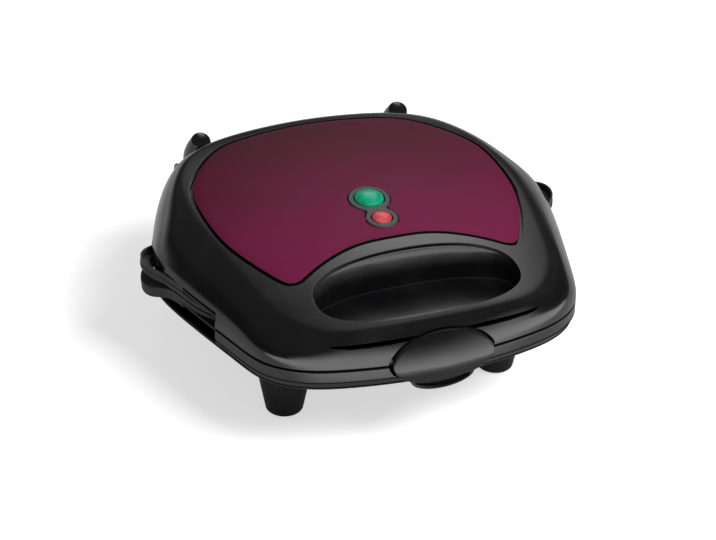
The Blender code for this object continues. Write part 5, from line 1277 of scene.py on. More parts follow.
def well_rings(grow, floor, above):
    """Rings of the finger well: a scooped foot, upright walls, and a round shoulder under a step at the back."""
    scoop = WELL_ROUND if grow else WELL_SCOOP
    rings = [level(well_loop(grow - shrink, 0.0), floor + rise) for shrink, rise in rounding(scoop, SCOOP_STEPS)]
    if grow:
        return rings + [draped(well_loop(grow, 0.0), above)]
    shoulder = []
    for inward, upward in WELL_SHOULDER_shares:
        loop, sink = well_loop(0.0, WELL_LIP * inward), 1.0 - upward
        ring = []
        for place in loop:
            depth = 2 * WELL_MOUTH + WELL_FRONT_FALL * sink + (WELL_STEP + WELL_SHOULDER * sink) * back_share(place)
            ring.append(Vector((*place, crown(*place) - depth)))
        shoulder.append(ring)
    for k in range(1, WELL_WALL_STEPS):
        share = k / WELL_WALL_STEPS
        rings.append([low.lerp(high, share) for low, high in zip(rings[SCOOP_STEPS], shoulder[0])])
    rings += shoulder
    rings += [draped(well_loop(0.0, WELL_LIP, grown), -depth) for depth, grown in rounding(WELL_MOUTH)]
    rings.append([Vector((point.x, point.y, point.z + above)) for point in rings[-1]])
    return rings


def back_share(place):
    """How far back a place lies on the well's loop: 0 at its front half, rising to 1 at its back."""
    return max(0.0, min(1.0, (place[1] - WELL_MIDDLE) / WELL_BACK))


def posts(half, end):
    """The screw bosses and reflector posts of one half, from their free tips to its outside."""
    found = []
    for kind, places, depth, radius in (
        ("boss", SCREWS, FRAME_DEPTH + FRAME_THICK, BOSS_RADIUS), ("post", POSTS, PAN_DEPTH + PAN_THICK, POST_RADIUS),
    ):
        low, high = sorted((mirrored_height(half, depth + CLEARANCE), end))
        found += [rod(f"{half}_{kind}_{name}", (x, y, low), (x, y, high), radius) for name, x, y in places]
    return found


def latch_cheeks():
    """Round-nosed cheeks on the well's front wall, which carry the latch's pin."""
    back = WELL_MIDDLE - WELL_FRONT + WELL_ROUND
    pivot = (LATCH_PIVOT_Y, LATCH_PIVOT_Z)
    profile = arc(pivot, LATCH_CHEEK_RADIUS, math.pi / 2, math.pi * 3 / 2, CHEEK_STEPS)
    profile += [(back, LATCH_PIVOT_Z - LATCH_CHEEK_RADIUS), (back, LATCH_PIVOT_Z + LATCH_CHEEK_RADIUS)]
    half = LATCH_CHEEK_THICK / 2
    return [
        side_slab(f"latch_cheek_{side}", profile, x - half, x + half)
        for side, x in both_sides(LATCH_CHEEK_INNER + half)
    ]


def lens_seats():
    """Round holes through the top of the lid for the two lens stems."""
    found = []
    for name, y, radius in (("green", GREEN_BACK, GREEN_RADIUS), ("red", RED_BACK, RED_RADIUS)):
        place = crown_frame(y)
        start, end = place @ Vector((0.0, 0.0, -LENS_DEPTH)), place @ Vector((0.0, 0.0, OVERRUN))
        found.append(rod(f"{name}_seat", start, end, radius - LENS_WALL + CLEARANCE))
    return found


def side_notches(half):
    """Cutters for the gap that the plate lugs stand out of, with rounded corners."""
    found = []
    rise = NOTCH_RISE if half == "upper" else NOTCH_DROP
    for side, sign in both_sides(1.0):
        low, high = sorted((sign * NOTCH_INNER, sign * (HALF_WIDTH + OVERRUN)))
        near, far = heights(half, -NOTCH_ROUND * 2, rise)
        profile = rounded_box(NOTCH_FRONT, NOTCH_BACK, near, far, NOTCH_ROUND)
        found.append(side_slab(f"{half}_notch_{side}", profile, low, high))
    return found


def rounded_box(left, right, low, high, radius, steps=6):
    """A rectangle's outline with rounded corners."""
    found = []
    corners = ((right, high, 0), (left, high, 1), (left, low, 2), (right, low, 3))
    for x, y, quarter in corners:
        middle_x = x - math.copysign(radius, x - (left + right) / 2)
        middle_y = y - math.copysign(radius, y - (low + high) / 2)
        found += arc((middle_x, middle_y), radius, math.pi / 2 * quarter, math.pi / 2 * (quarter + 1), steps)
    return found


def slot(half, y, width):
    """A round-ended slot's outline along X."""
    return rounded_box(-half, half, y - width / 2, y + width / 2, width * SLOT_END_share)


def front_of_rim():
    """The rim's front line, as heights along Y for places along X."""
    line = sorted((place.x, place.y) for place in rim_loop() if place.y < -FRONT_REACH / 2)
    return np.array(line).T


def latch_window(name):
    """The oval hole in both casings that the latch sits in, its edge rounded."""
    xs, ys = front_of_rim()
    stations = [(0.0, None), *reversed(list(rounding(WINDOW_EDGE))), (WINDOW_EDGE, -OVERRUN)]
    rings = []
    for grow, depth in stations:
        ring = []
        for i in range(3 * LATCH_POINTS):
            turn = math.tau * i / (3 * LATCH_POINTS)
            x = (LATCH_HALF_WIDTH + LATCH_GAP + grow) * math.cos(turn)
            z = LATCH_MIDDLE + (LATCH_HALF_HEIGHT + LATCH_GAP + grow) * math.sin(turn)
            y = WINDOW_DEPTH if depth is None else float(np.interp(x, xs, ys)) + depth
            ring.append(Vector((x, y, z)))
        rings.append(ring)
    return loft(name, rings)


def screw_bores(half):
    """Blind holes in the bosses for the frame's screws."""
    low, high = heights(half, FRAME_DEPTH, FRAME_DEPTH + SCREW_LENGTH + CLEARANCE)
    return [rod(f"{half}_bore_{name}", (x, y, low), (x, y, high), SCREW_RADIUS + CLEARANCE) for name, x, y in SCREWS]


def latch_bores(name):
    reach = LATCH_CHEEK_INNER + LATCH_CHEEK_THICK + OVERRUN
    return cross_rod(name, 0.0, reach, LATCH_PIVOT_Y, LATCH_PIVOT_Z, LATCH_PIN_RADIUS + CLEARANCE)


def hinge_bore(name, x):
    reach = KNUCKLE_WIDTH / 2 + CHEEK_THICK + OVERRUN
    return cross_rod(name, x, reach, HINGE_Y, HINGE_HEIGHT, HINGE_PIN_RADIUS + CLEARANCE)


def peg(side, x):
    """A rear peg with a rounded, rimmed end, which runs down into the lid's hinge knuckle."""
    top = crown(x, PEG_TIP_BACK) - PEG_TIP_SINK
    controls = []
    for back, down in PEG_shares:
        y = PEG_TIP_BACK + (HINGE_Y - PEG_TIP_BACK) * back
        radius = PEG_TIP_RADIUS + (PEG_RADIUS - PEG_TIP_RADIUS) * min(1.0, 2 * back)
        radius += PEG_FLARE * math.sin(math.pi * min(1.0, back / PEG_shares[3][0]))
        controls.append([Vector((x, y, top + (HINGE_HEIGHT - top) * down)), Vector((radius, 0.0, 0.0))])
    path = softened(controls)
    arm = tube(f"peg_arm_{side}", [row[0] for row in path], [row[1].x for row in path], ROUND_TURN)
    profile = []
    for i in range(PEG_DOME_STEPS + 1):
        turn = math.pi / 2 * i / PEG_DOME_STEPS
        profile.append((PEG_TIP_RADIUS * math.sin(turn), PEG_FLAT * PEG_TIP_RADIUS * math.cos(turn)))
    profile.append((PEG_TIP_RADIUS, -PEG_TIP_RADIUS / 2))
    profile.append((0.0, -PEG_TIP_RADIUS / 2))
    along = (path[0][0] - path[4][0]).normalized()
    tip = turned(f"peg_tip_{side}", profile, ROUND_TURN, aimed(path[0][0], along))
    knuckle = (x, KNUCKLE_WIDTH / 2, HINGE_Y, HINGE_HEIGHT, KNUCKLE_RADIUS)
    return [arm, tip, cross_rod(f"knuckle_{side}", *knuckle, ROUND_TURN, EDGE)]


def upper_casing():
    drop = TRIM_RECESS + WALL
    lining = lid_rings(WALL, drop, OVERRUN, LINING_shares, LINING_TOP_shares, 4)
    cavity = loft("lid_cavity", lining, end=(0.0, PEAK_BACK, PEAK_HEIGHT - drop))
    cavity = carve(cavity, [loft("well_block", well_rings(WALL, WELL_FLOOR - WALL, 0.0)), *posts("upper", PEAK_HEIGHT)])
    pegs = [solid for side, x in both_sides(HINGE_SPREAD) for solid in peg(side, x)]
    casing = join(lid_shell(), pegs)
    groove = inset(trim_loop(), -TRIM_GROOVE)
    middle = Vector((0.0, PEAK_BACK / 2))
    rings = [draped(ring, -TRIM_RECESS) for ring in crowned_outline(groove, middle, FLAT_shares[::-1])]
    rings.append(draped(groove, -TRIM_RECESS))
    rings += [draped(inset(groove, -shrink), -rise) for shrink, rise in reversed(FINE_EDGES)]
    rings.append([point + Vector((0.0, 0.0, OVERRUN)) for point in rings[-1]])
    low, high = (*middle, crown(*middle) - TRIM_RECESS), (*middle, PEAK_HEIGHT + 2 * OVERRUN)
    recess = loft("trim_recess", rings, low, high)
    casing = carve(casing, [cavity, recess, latch_window("lid_window")])
    casing = join(casing, latch_cheeks())
    tools = [loft("well", well_rings(0.0, WELL_FLOOR, OVERRUN)), latch_bores("latch_bore")]
    tools += lens_seats() + side_notches("upper") + screw_bores("upper")
    tools += [hinge_bore(f"knuckle_bore_{side}", x) for side, x in both_sides(HINGE_SPREAD)]
    piece(carve(casing, tools), "lid_shell", BLACK, "lid", ["upper_casing"], flat=True)


def base_controls(shrink, floor, shares, steps=LOOP_STEPS):
    """Rings of the bowl from the base's floor up to the foot of its rim."""
    rim = inset(rim_loop(steps), shrink)
    bowl = inset(symmetric_loop(RIM_shares, BOWL_HALF_WIDTH, BOWL_FRONT, BOWL_REAR, steps), shrink)
    rise = RIM_FOOT - BASE_FLOOR
    rings = [level(inset(bowl, BOWL_ROUND), floor)]
    for outward, upward in shares[1:]:
        places = [low.lerp(high, outward) for low, high in zip(bowl, rim)]
        rings.append(level(places, floor + rise * upward))
    rings.append(level(inset(rim, RIM_ROUND), floor + rise))
    return rings


def base_shell():
    """The base's outside: a bowl, a rim with a tucked-in foot and a shallow groove round it, and a soft top edge."""
    rings = softened(base_controls(0.0, BASE_FLOOR, BOWL_shares))
    rim = rim_loop()
    for shrink, rise in EDGES[1:]:
        rings.append(level(inset(rim, RIM_TUCK + shrink * RIM_ROUND / EDGE), RIM_FOOT + rise * RIM_ROUND / EDGE))
    groove = RIM_FOOT + RIM_ROUND + RIM_GROOVE_RISE
    for sink, up in ((0.0, 0.0), (RIM_GROOVE_DEPTH, 0.5), (RIM_GROOVE_DEPTH, 1.0), (0.0, 1.5)):
        rings.append(level(inset(rim, sink), groove + up * RIM_GROOVE_DEPTH * 2))
    top = PARTING - RIM_GAP / 2
    rings += [level(inset(rim, shrink), top - rise) for shrink, rise in reversed(EDGES)]
    return loft("lower_casing", rings)


def base_posts():
    """What stands inside the base: bosses for screws and feet, reflector posts and the latch catch."""
    found = posts("lower", 0.0)
    end = BASE_FLOOR + FOOT_SCREW_END + CLEARANCE
    found += [rod(f"foot_boss_{name}", (x, y, 0.0), (x, y, end), FOOT_BOSS_RADIUS) for name, x, y in FEET]
    top = PARTING - RIM_GAP / 2 - CLEARANCE
    half = NICHE_HALF
    found.append(box("catch_wall", (-half, NICHE_BACK, 0.0), (half, NICHE_BACK + WALL, top)))
    for side, x in both_sides(half - WALL / 2):
        low = (x - WALL / 2, -FRONT_REACH, 0.0)
        found.append(box(f"catch_side_{side}", low, (x + WALL / 2, NICHE_BACK + WALL / 2, top)))
    low = (-CATCH_HALF, CATCH_FRONT, CATCH_BOTTOM)
    found.append(box("catch_bar", low, (CATCH_HALF, NICHE_BACK + WALL / 2, CATCH_BOTTOM + CATCH_THICK)))
    return found


def hinge_lug(side, x):
    """Two cheeks on a bridge, at the back of the base."""
    nose = arc((HINGE_Y, HINGE_HEIGHT), KNUCKLE_RADIUS, LUG_ARC_START, math.pi, LUG_ARC_STEPS)
    profile = [(LUG_ROOT, LUG_FOOT), (REAR_REACH - BOWL_ROUND, LUG_FOOT), *nose]
    profile += [(HINGE_Y - KNUCKLE_RADIUS, LUG_TOP), (LUG_ROOT, LUG_TOP)]
    inner = KNUCKLE_WIDTH / 2 + CHEEK_GAP
    outer = inner + CHEEK_THICK
    low = (x - inner - CHEEK_THICK / 2, LUG_ROOT, LUG_FOOT)
    high = (x + inner + CHEEK_THICK / 2, LUG_ROOT + LUG_BRIDGE, LUG_TOP - 2 * CHEEK_GAP)
    return [
        box(f"lug_bridge_{side}", low, high),
        side_slab(f"lug_near_{side}", profile, x - outer, x - inner, FINE_EDGE),
        side_slab(f"lug_far_{side}", profile, x + inner, x + outer, FINE_EDGE),
    ]


def vents():
    """Round-ended slots in the base's floor."""
    ys = [VENT_PITCH * (i - (VENT_COUNT - 1) / 2) for i in range(VENT_COUNT)]
    low, high = BASE_FLOOR - OVERRUN, BASE_FLOOR + OVERRUN
    return [slab("vent", [slot(VENT_LENGTH / 2, y, VENT_WIDTH)], low, high) for y in ys]


def lower_casing():
    top = PARTING - RIM_GAP / 2
    lining = base_controls(WALL, BASE_FLOOR + WALL, BOWL_LINING_shares, 4)
    lining.append(level(inset(rim_loop(4), WALL), RIM_FOOT + WALL + RIM_ROUND))
    lining.append(level(inset(rim_loop(4), WALL), top + OVERRUN))
    cavity = carve(loft("base_cavity", lining), base_posts())
    start, end = (0.0, BOWL_REAR, CORD_HEIGHT), (0.0, REAR_REACH - MERGE, CORD_HEIGHT)
    lugs = [solid for side, x in both_sides(HINGE_SPREAD) for solid in hinge_lug(side, x)]
    casing = join(base_shell(), [*lugs, rod("cord_seat", start, end, CORD_SEAT)])
    tools = [cavity, latch_window("base_window"), lip_solid("lip_gap", LATCH_GAP, LATCH_GAP)]
    tools += side_notches("lower") + screw_bores("lower") + vents()
    high = BASE_FLOOR + FOOT_SCREW_END + CLEARANCE + OVERRUN
    tools += [rod(f"foot_bore_{name}", (x, y, 0.0), (x, y, high), FOOT_SCREW_RADIUS + CLEARANCE) for name, x, y in FEET]
    tools += [hinge_bore(f"lug_bore_{side}", x) for side, x in both_sides(HINGE_SPREAD)]
    start = (0.0, REAR_REACH - CORD_NECK - WALL, CORD_HEIGHT)
    tools.append(rod("cord_hole", start, (0.0, REAR_REACH + OVERRUN, CORD_HEIGHT), CORD_NECK + CLEARANCE))
    piece(carve(casing, tools), "base_shell", BLACK, "base", ["lower_casing"], flat=True)


def crowned_outline(outline, middle, shares):
    """The outline drawn in towards its middle, once for each share."""
    return [[middle.lerp(place, share) for place in outline] for share in shares]


def trim_plate():
    """The maroon insert: made flat, then laid over the lid's crown by its own rule."""
    outline, middle = inset(trim_loop(), TRIM_DRAWN_IN), Vector((0.0, PEAK_BACK / 2))
    under = CLEARANCE - TRIM_RECESS
    rings = [level(ring, under) for ring in crowned_outline(outline, middle, TRIM_UNDER_shares[::-1])]
    rings += [level(inset(outline, shrink), -rise) for shrink, rise in reversed(FINE_EDGES)]
    inner = inset(outline, FINE_EDGE)
    rings += [level(ring, 0.0) for ring in crowned_outline(inner, middle, FLAT_shares)]
    plate = loft("trim", rings, (*middle, under), (*middle, 0.0))
    plate = laid_on_crown(plate, MAROON)
    hole = bezel_solid("bezel_hole", BEZEL_GROOVE, -TRIM_RECESS - OVERRUN, OVERRUN, 0.0)
    piece(carve(plate, [hole]), "maroon_insert", MAROON, "lid", ["trim_plate"])


def bezel_outline(grow):
    """A figure of eight round both lamps."""
    reach = (GREEN_BACK - RED_BACK) / 2
    big = GREEN_RADIUS + BEZEL_MARGIN + grow
    small = RED_RADIUS + BEZEL_MARGIN + grow
    waist = (4 * reach**2 + big**2 - small**2) / (4 * reach)
    places = []
    for centre, radius, away, sign in ((reach, big, waist, 1), (-reach, small, 2 * reach - waist, -1)):
        neck = math.acos(away / radius)
        for i in range(3 * BEZEL_STEPS + 1):
            turn = neck + (math.tau - 2 * neck) * i / (3 * BEZEL_STEPS)
            x, y = radius * math.sin(turn), centre - radius * math.cos(turn)
            if sign < 0:
                x, y = -x, centre + radius * math.cos(turn)
            places.append(Vector((x, y)))
    return [place for i, place in enumerate(places) if (place - places[i - 1]).length > MERGE]


def bezel_solid(name, grow, low, high, edge):
    """The figure of eight as a solid, square to the crown between the lamps, its waist and edge softened."""
    outline = bezel_outline(grow)
    for _ in range(WAIST_ROUNDS):
        before, after = outline[-1:] + outline[:-1], outline[1:] + outline[:1]
        outline = [(a + 2 * b + c) / 4 for a, b, c in zip(before, outline, after)]
    rings = [level(outline, low)]
    if edge:
        rings += [level(inset(outline, shrink), high - rise) for shrink, rise in reversed(list(rounding(edge)))]
    else:
        rings.append(level(outline, high))
    solid = loft(name, rings)
    solid.data.transform(crown_frame((GREEN_BACK + RED_BACK) / 2))
    return solid


def lamp_bezel():
    ring = bezel_solid("ring", 0.0, 2 * CLEARANCE - TRIM_RECESS, BEZEL_PROUD, EDGE)
    eyes = []
    for y, radius in ((GREEN_BACK, GREEN_RADIUS), (RED_BACK, RED_RADIUS)):
        eye = radius + EYE_GAP
        profile = [(0.0, -OVERRUN), (eye, -OVERRUN)]
        profile += [(eye + shrink, BEZEL_PROUD - rise) for shrink, rise in reversed(EYE_EDGES)]
        profile += [(eye + EYE_EDGE, OVERRUN), (0.0, OVERRUN)]
        eyes.append(turned("eye", profile, ROUND_TURN, crown_frame(y)))
    piece(carve(ring, eyes), "bezel", GREY, "lid", ["lamp_bezel"])


def lens(colour, y, radius, finish):
    """A domed lens on a hollow stem, which takes the end of its lamp."""
    stem, bore, dome = radius - LENS_WALL, LAMP_RADIUS + CLEARANCE, DOME_share * radius - DOME_SINK
    profile = [(0.0, BEZEL_PROUD + dome)]
    for i in range(1, 5 * DOME_STEPS + 1):
        turn = math.pi / 2 * i / (5 * DOME_STEPS)
        profile.append((radius * math.sin(turn), BEZEL_PROUD + dome * math.cos(turn)))
    shoulder = CLEARANCE - TRIM_RECESS
    profile += [(radius, shoulder), (stem, shoulder), (stem, -LENS_DEPTH), (bore, -LENS_DEPTH)]
    profile += [(bore, BEZEL_PROUD - LENS_WALL / 2), (0.0, BEZEL_PROUD - LENS_WALL / 2)]
    solid = turned("lens", profile, 2 * ROUND_TURN, crown_frame(y))
    piece(solid, f"{colour}_lamp_lens", finish, "lid", [f"{colour}_lens"])


def latch_face(x, z):
    """Where the latch's front face lies: bowed with the casing, fullest low down, set back at its top."""
    rise = (z - LATCH_BULGE_HEIGHT) / (LATCH_MIDDLE + LATCH_HALF_HEIGHT - LATCH_BULGE_HEIGHT)
    fall = (LATCH_BULGE_HEIGHT - z) / (LATCH_BULGE_HEIGHT - LATCH_MIDDLE + LATCH_HALF_HEIGHT)
    setback = (LATCH_BULGE + LATCH_TOP_SETBACK) * max(0.0, rise) ** LATCH_RISE_POWER
    setback += LATCH_BULGE * max(0.0, fall) ** LATCH_FALL_POWER
    return LATCH_FACE - LATCH_BULGE + setback + x**2 / (2 * LATCH_CURVE_RADIUS)


def latch_ring(share, shrink, behind):
    ring = []
    for i in range(4 * LATCH_POINTS):
        turn = math.tau * i / (4 * LATCH_POINTS)
        x = (LATCH_HALF_WIDTH - shrink) * share * math.cos(turn)
        z = LATCH_MIDDLE + (LATCH_HALF_HEIGHT - shrink) * share * math.sin(turn)
        ring.append(Vector((x, latch_face(x, z) + LATCH_SINK + behind, z)))
    return ring


def lip_outline(grow, shrink=0.0):
    half = LATCH_LIP_HALF + grow - shrink
    drop = (LATCH_LIP_TOP - LATCH_LIP_BOTTOM) * LATCH_LIP_share
    places = [(half, LATCH_LIP_TOP - shrink), (-half, LATCH_LIP_TOP - shrink)]
    for i in range(4 * LATCH_LIP_POINTS + 1):
        turn = math.pi * (1 + i / (4 * LATCH_LIP_POINTS))
        z = LATCH_LIP_BOTTOM + drop + (drop + grow - shrink) * math.sin(turn)
        places.append((half * math.cos(turn), z))
    return places


def lip_solid(name, grow, behind):
    """The half-round lip under the latch that a finger pulls."""
    front = LATCH_LIP_FRONT - (OVERRUN if grow else 0.0)
    edge = 0.0 if grow else FINE_EDGE
    return front_slab(name, lip_outline(grow), front, LATCH_LIP_FRONT + LATCH_LIP_THICK + behind, edge)


def latch():
    """The oval latch with its pivot barrel, hook and dished pull lip."""
    rings = [latch_ring(share, 0.0, LATCH_THICK) for share in LATCH_BACK_FINE_shares]
    rings += [latch_ring(1.0, shrink, rise) for shrink, rise in reversed(EDGES)]
    rings += [latch_ring(share, EDGE, 0.0) for share in LATCH_FACE_shares]
    cap = loft("cap", rings)
    y, z, half = LATCH_PIVOT_Y, LATCH_PIVOT_Z, LATCH_BARREL_HALF
    barrel = cross_rod("barrel", 0.0, half, y, z, LATCH_BARREL_RADIUS)
    web = box(
        "web", (-half, latch_face(0.0, z) + LATCH_THICK / 2, z - LATCH_BARREL_RADIUS),
        (half, y, z + LATCH_BARREL_RADIUS / 2),
    )
    low = (-LATCH_HOOK_HALF, latch_face(0.0, LATCH_HOOK_TOP) + LATCH_THICK / 2, LATCH_HOOK_TOP - LATCH_HOOK_THICK)
    hook = box("hook", low, (LATCH_HOOK_HALF, LATCH_HOOK_REACH, LATCH_HOOK_TOP), FINE_EDGE)
    body = join(cap, [barrel, web, hook, lip_solid("lip", 0.0, 0.0)])
    dish = front_slab("dish", lip_outline(0.0, LIP_RIM), LATCH_LIP_FRONT - OVERRUN, LATCH_LIP_FRONT + LIP_DISH)
    for vertex in dish.data.vertices:
        if vertex.co.y > LATCH_LIP_FRONT:
            vertex.co.y += (LATCH_LIP_TOP - vertex.co.z) * LIP_LEAN
    piece(carve(body, [latch_bores("bore"), dish]), "front_latch", BLACK, "latch", ["latch"])


def foot(name, x, y):
    """A tapered foot with soft edges, cut to the bowl above it."""
    bore = FOOT_SCREW_RADIUS + CLEARANCE
    profile = [(bore, FOOT_TOP), (FOOT_TOP_RADIUS, FOOT_TOP)]
    for i in range(FOOT_EDGE_STEPS + 1):
        turn = math.pi / 2 * i / FOOT_EDGE_STEPS
        inward, upward = FOOT_ROUND * (1 - math.cos(turn)), FOOT_ROUND * (1 - math.sin(turn))
        profile.append((FOOT_RADIUS - inward, PAD_PROUD + upward))
    pad, head, seat = PAD_RADIUS + CLEARANCE, FOOT_SCREW_HEAD + CLEARANCE, PAD_THICK + CLEARANCE
    profile += [(pad, PAD_PROUD), (pad, seat), (head, seat), (head, FOOT_SCREW_RISE), (bore, FOOT_SCREW_RISE)]
    solid = turned("foot", profile, 2 * ROUND_TURN, Matrix.Translation((x, y, 0.0)))
    rings = softened(base_controls(-CLEARANCE, BASE_FLOOR - CLEARANCE, BOWL_shares, 4), 1)
    rings.append(level(inset(rim_loop(4), -CLEARANCE), PARTING))
    piece(carve(solid, [loft("bowl", rings)]), f"tapered_foot_{name}", DARK, "base", [f"foot_{name}"])


def pocket_outline(sign, corner, grow):
    """One triangular pocket's outline, its corners rounded, grown outwards by grow."""
    near, far = sign * POCKET_INNER, sign * POCKET_OUTER
    if corner == "front":
        points = [Vector((near, POCKET_FRONT)), Vector((far, POCKET_FRONT)), Vector((near, POCKET_BACK))]
    else:
        points = [Vector((far, POCKET_BACK)), Vector((near, POCKET_BACK)), Vector((far, POCKET_FRONT))]
    middle = sum(points, Vector((0.0, 0.0))) / 3
    lines = []
    for i, point in enumerate(points):
        along = (points[(i + 1) % 3] - point).normalized()
        normal = Vector((along.y, -along.x))
        if (point - middle).dot(normal) < 0:
            normal = -normal
        shift = grow - (POCKET_LAND / 2 if abs(along.x * along.y) > MERGE else 0.0)
        lines.append((point + normal * shift, along))
    found = []
    corners = []
    for i in range(3):
        (here, along), (there, across) = lines[i - 1], lines[i]
        corners.append(here + along * ((there - here).cross(across) / along.cross(across)))
    for i, point in enumerate(corners):
        before, after = corners[i - 1], corners[(i + 1) % 3]
        start = point + (before - point).normalized() * POCKET_CORNER
        end = point + (after - point).normalized() * POCKET_CORNER
        for k in range(4 * POCKET_STEPS + 1):
            t = k / (4 * POCKET_STEPS)
            found.append(start * (1 - t) ** 2 + point * 2 * t * (1 - t) + end * t**2)
    return found


def pocket_solid(name, half, sign, corner, grow, stations):
    """A pocket's tapered solid: its stations give how much narrower it is at each depth."""
    rings = []
    for narrower, depth in stations:
        rings.append(level(pocket_outline(sign, corner, grow - narrower), mirrored_height(half, depth)))
    return loft(name, softened(rings))


def pocket_foot(floor):
    """The last stations of a pocket, which round its slope into its floor."""
    slope, turn, flat = (POCKET_SLOPE * share for share in POCKET_FOOT_shares)
    return [(slope, floor - POCKET_SLOPE / 2), (turn, floor - FINE_EDGE), (flat, floor)]


def ear(half, side, sign):
    """A side lug with a turned edge, level by the plate and bent away from the other half."""
    length, depth = EAR_REACH - EAR_SINK - EAR_ROOT, EAR_BACK - EAR_FRONT
    outlines = []
    for shares in (EAR_shares, EAR_HOLE_shares):
        points = [(sign * (EAR_ROOT + x * length), EAR_FRONT + y * depth) for x, y in shares]
        outlines.append(smooth_loop(points))
    far = PLATE_GAP + PLATE_THICK
    lug = bent(level_slab(f"ear_{side}", outlines, half, PLATE_GAP, far, FINE_EDGE), half)
    edge = [inset(outlines[0], EAR_LIP_SETBACK), inset(outlines[0], EAR_LIP)]
    lip = bent(level_slab(f"ear_lip_{side}", edge, half, far - PLATE_THICK / 2, far + EAR_LIP_HEIGHT, FINE_EDGE), half)
    low, high = sorted((sign * (EAR_BEND - FRAME_LEDGE / 2 + CLEARANCE), 0.0))
    plain = level_box("ear_lip_end", half, (low, -HALF_WIDTH), (high, HALF_WIDTH), 0.0, PAN_DEPTH)
    return [lug, carve(lip, [plain])]


def bent(lug, half):
    """The lug, bent away from the parting plane beyond its bend."""
    bm = bmesh.new()
    bm.from_mesh(lug.data)
    for sign in (-1.0, 1.0):
        for k in range(BEND_STEPS):
            x = sign * (EAR_BEND + BEND_STEP * k)
            cut = bm.verts[:] + bm.edges[:] + bm.faces[:]
            bmesh.ops.bisect_plane(bm, geom=cut, dist=MERGE, plane_co=(x, 0, 0), plane_no=(1, 0, 0))
    away = 1.0 if half == "upper" else -1.0
    soft = BEND_STEP * (BEND_STEPS - 1)
    for vert in bm.verts:
        beyond = max(0.0, abs(vert.co.x) - EAR_BEND)
        bend = beyond**2 / (2 * soft) if beyond < soft else beyond - soft / 2
        vert.co.z += away * EAR_FLARE * bend / (EAR_REACH - EAR_BEND)
    bmesh.ops.recalc_face_normals(bm, faces=bm.faces)
    bm.to_mesh(lug.data)
    bm.free()
    return lug


def cooking_plate(half, body):
    near, far = PLATE_GAP, PLATE_GAP + PLATE_THICK
    plate = level_slab("plate", [plate_loop()], half, near, far, FINE_EDGE)
    ears = [solid for side, sign in both_sides(1.0) for solid in ear(half, side, sign)]
    pockets = [(f"{side}_{corner}", sign, corner) for side, sign in both_sides(1.0) for corner in ("front", "back")]
    floor = near + POCKET_DEPTH
    outside = [(0.0, near + FINE_EDGE), (0.0, near + PLATE_THICK), *pocket_foot(floor + POCKET_WALL)]
    bulges = [pocket_solid(f"{name}_bulge", half, sign, corner, POCKET_WALL, outside) for name, sign, corner in pockets]
    plate = join(plate, ears + bulges)
    inside = [(-POCKET_MOUTH, near - OVERRUN), (-POCKET_MOUTH, near - FINE_EDGE)]
    inside += [(-POCKET_MOUTH / 4, near + POCKET_MOUTH / 2), (0.0, near + 2 * POCKET_MOUTH), *pocket_foot(floor)]
    tools = [pocket_solid(f"{name}_pocket", half, sign, corner, 0.0, inside) for name, sign, corner in pockets]
    step, wide = near + 2 * CLEARANCE + TONGUE_THICK, TONGUE_HALF + STEP_CLEARANCE
    for name, low, high in (
        ("front", PLATE_FRONT - OVERRUN, PLATE_FRONT + TONGUE_REACH),
        ("rear", PLATE_BACK - TONGUE_REACH, PLATE_BACK + OVERRUN),
    ):
        tools.append(level_box(f"step_{name}", half, (-wide, low), (wide, high), near - OVERRUN, step))
    piece(carve(plate, tools), f"{half}_plate", COATED, body, [f"{half}_cooking_plate"], flat=True)


def plate_frame(half, body):
    """The panel round a cooking plate, with its rear tongue and the clip's slot."""
    outer = inset(rim_loop(), WALL + FRAME_CLEARANCE)
    far = FRAME_DEPTH + FRAME_THICK
    panel = level_slab("panel", [outer, plate_loop(-FRAME_LEDGE)], half, FRAME_DEPTH, far, FINE_EDGE)
    rear = PLATE_BACK + STEP_CLEARANCE
    tongue_top = PLATE_GAP + CLEARANCE
    middle = FRAME_DEPTH + FRAME_THICK / 2
    panel = join(panel, [
        level_box("body", half, (-TONGUE_HALF, rear), (TONGUE_HALF, rear + TONGUE_BODY), tongue_top, middle, FINE_EDGE),
        level_box(
            "tongue", half, (-TONGUE_HALF, rear - TONGUE_REACH), (TONGUE_HALF, rear + TONGUE_REACH),
            tongue_top, tongue_top + TONGUE_THICK, FINE_EDGE / 2,
        ),
    ])
    over, past = FRAME_DEPTH - OVERRUN, far + OVERRUN
    tools = [
        level_box("mouth", half, (-FRAME_CUT_HALF, -FRONT_REACH), (FRAME_CUT_HALF, FRAME_FRONT_CUT), over, past),
        level_box(
            "slot", half, (-CLIP_NECK_HALF - CLEARANCE, CLIP_MIDDLE - CLIP_NECK_LENGTH / 2 - CLIP_TRAVEL - CLEARANCE),
            (CLIP_NECK_HALF + CLEARANCE, CLIP_MIDDLE + CLIP_NECK_LENGTH / 2 + CLEARANCE), over, past,
        ),
    ]
    for side, sign in both_sides(1.0):
        low, high = sorted((sign * (EAR_BEND - FRAME_LEDGE / 2), sign * HALF_WIDTH))
        tools.append(level_box(f"lug_gap_{side}", half, (low, NOTCH_FRONT), (high, NOTCH_BACK), over, past))
    low, high = heights(half, over, past)
    tools += [rod(f"hole_{name}", (x, y, low), (x, y, high), SCREW_RADIUS + CLEARANCE) for name, x, y in SCREWS]
    piece(carve(panel, tools), f"{half}_panel", HEATPROOF, body, [f"{half}_frame"], flat=True)


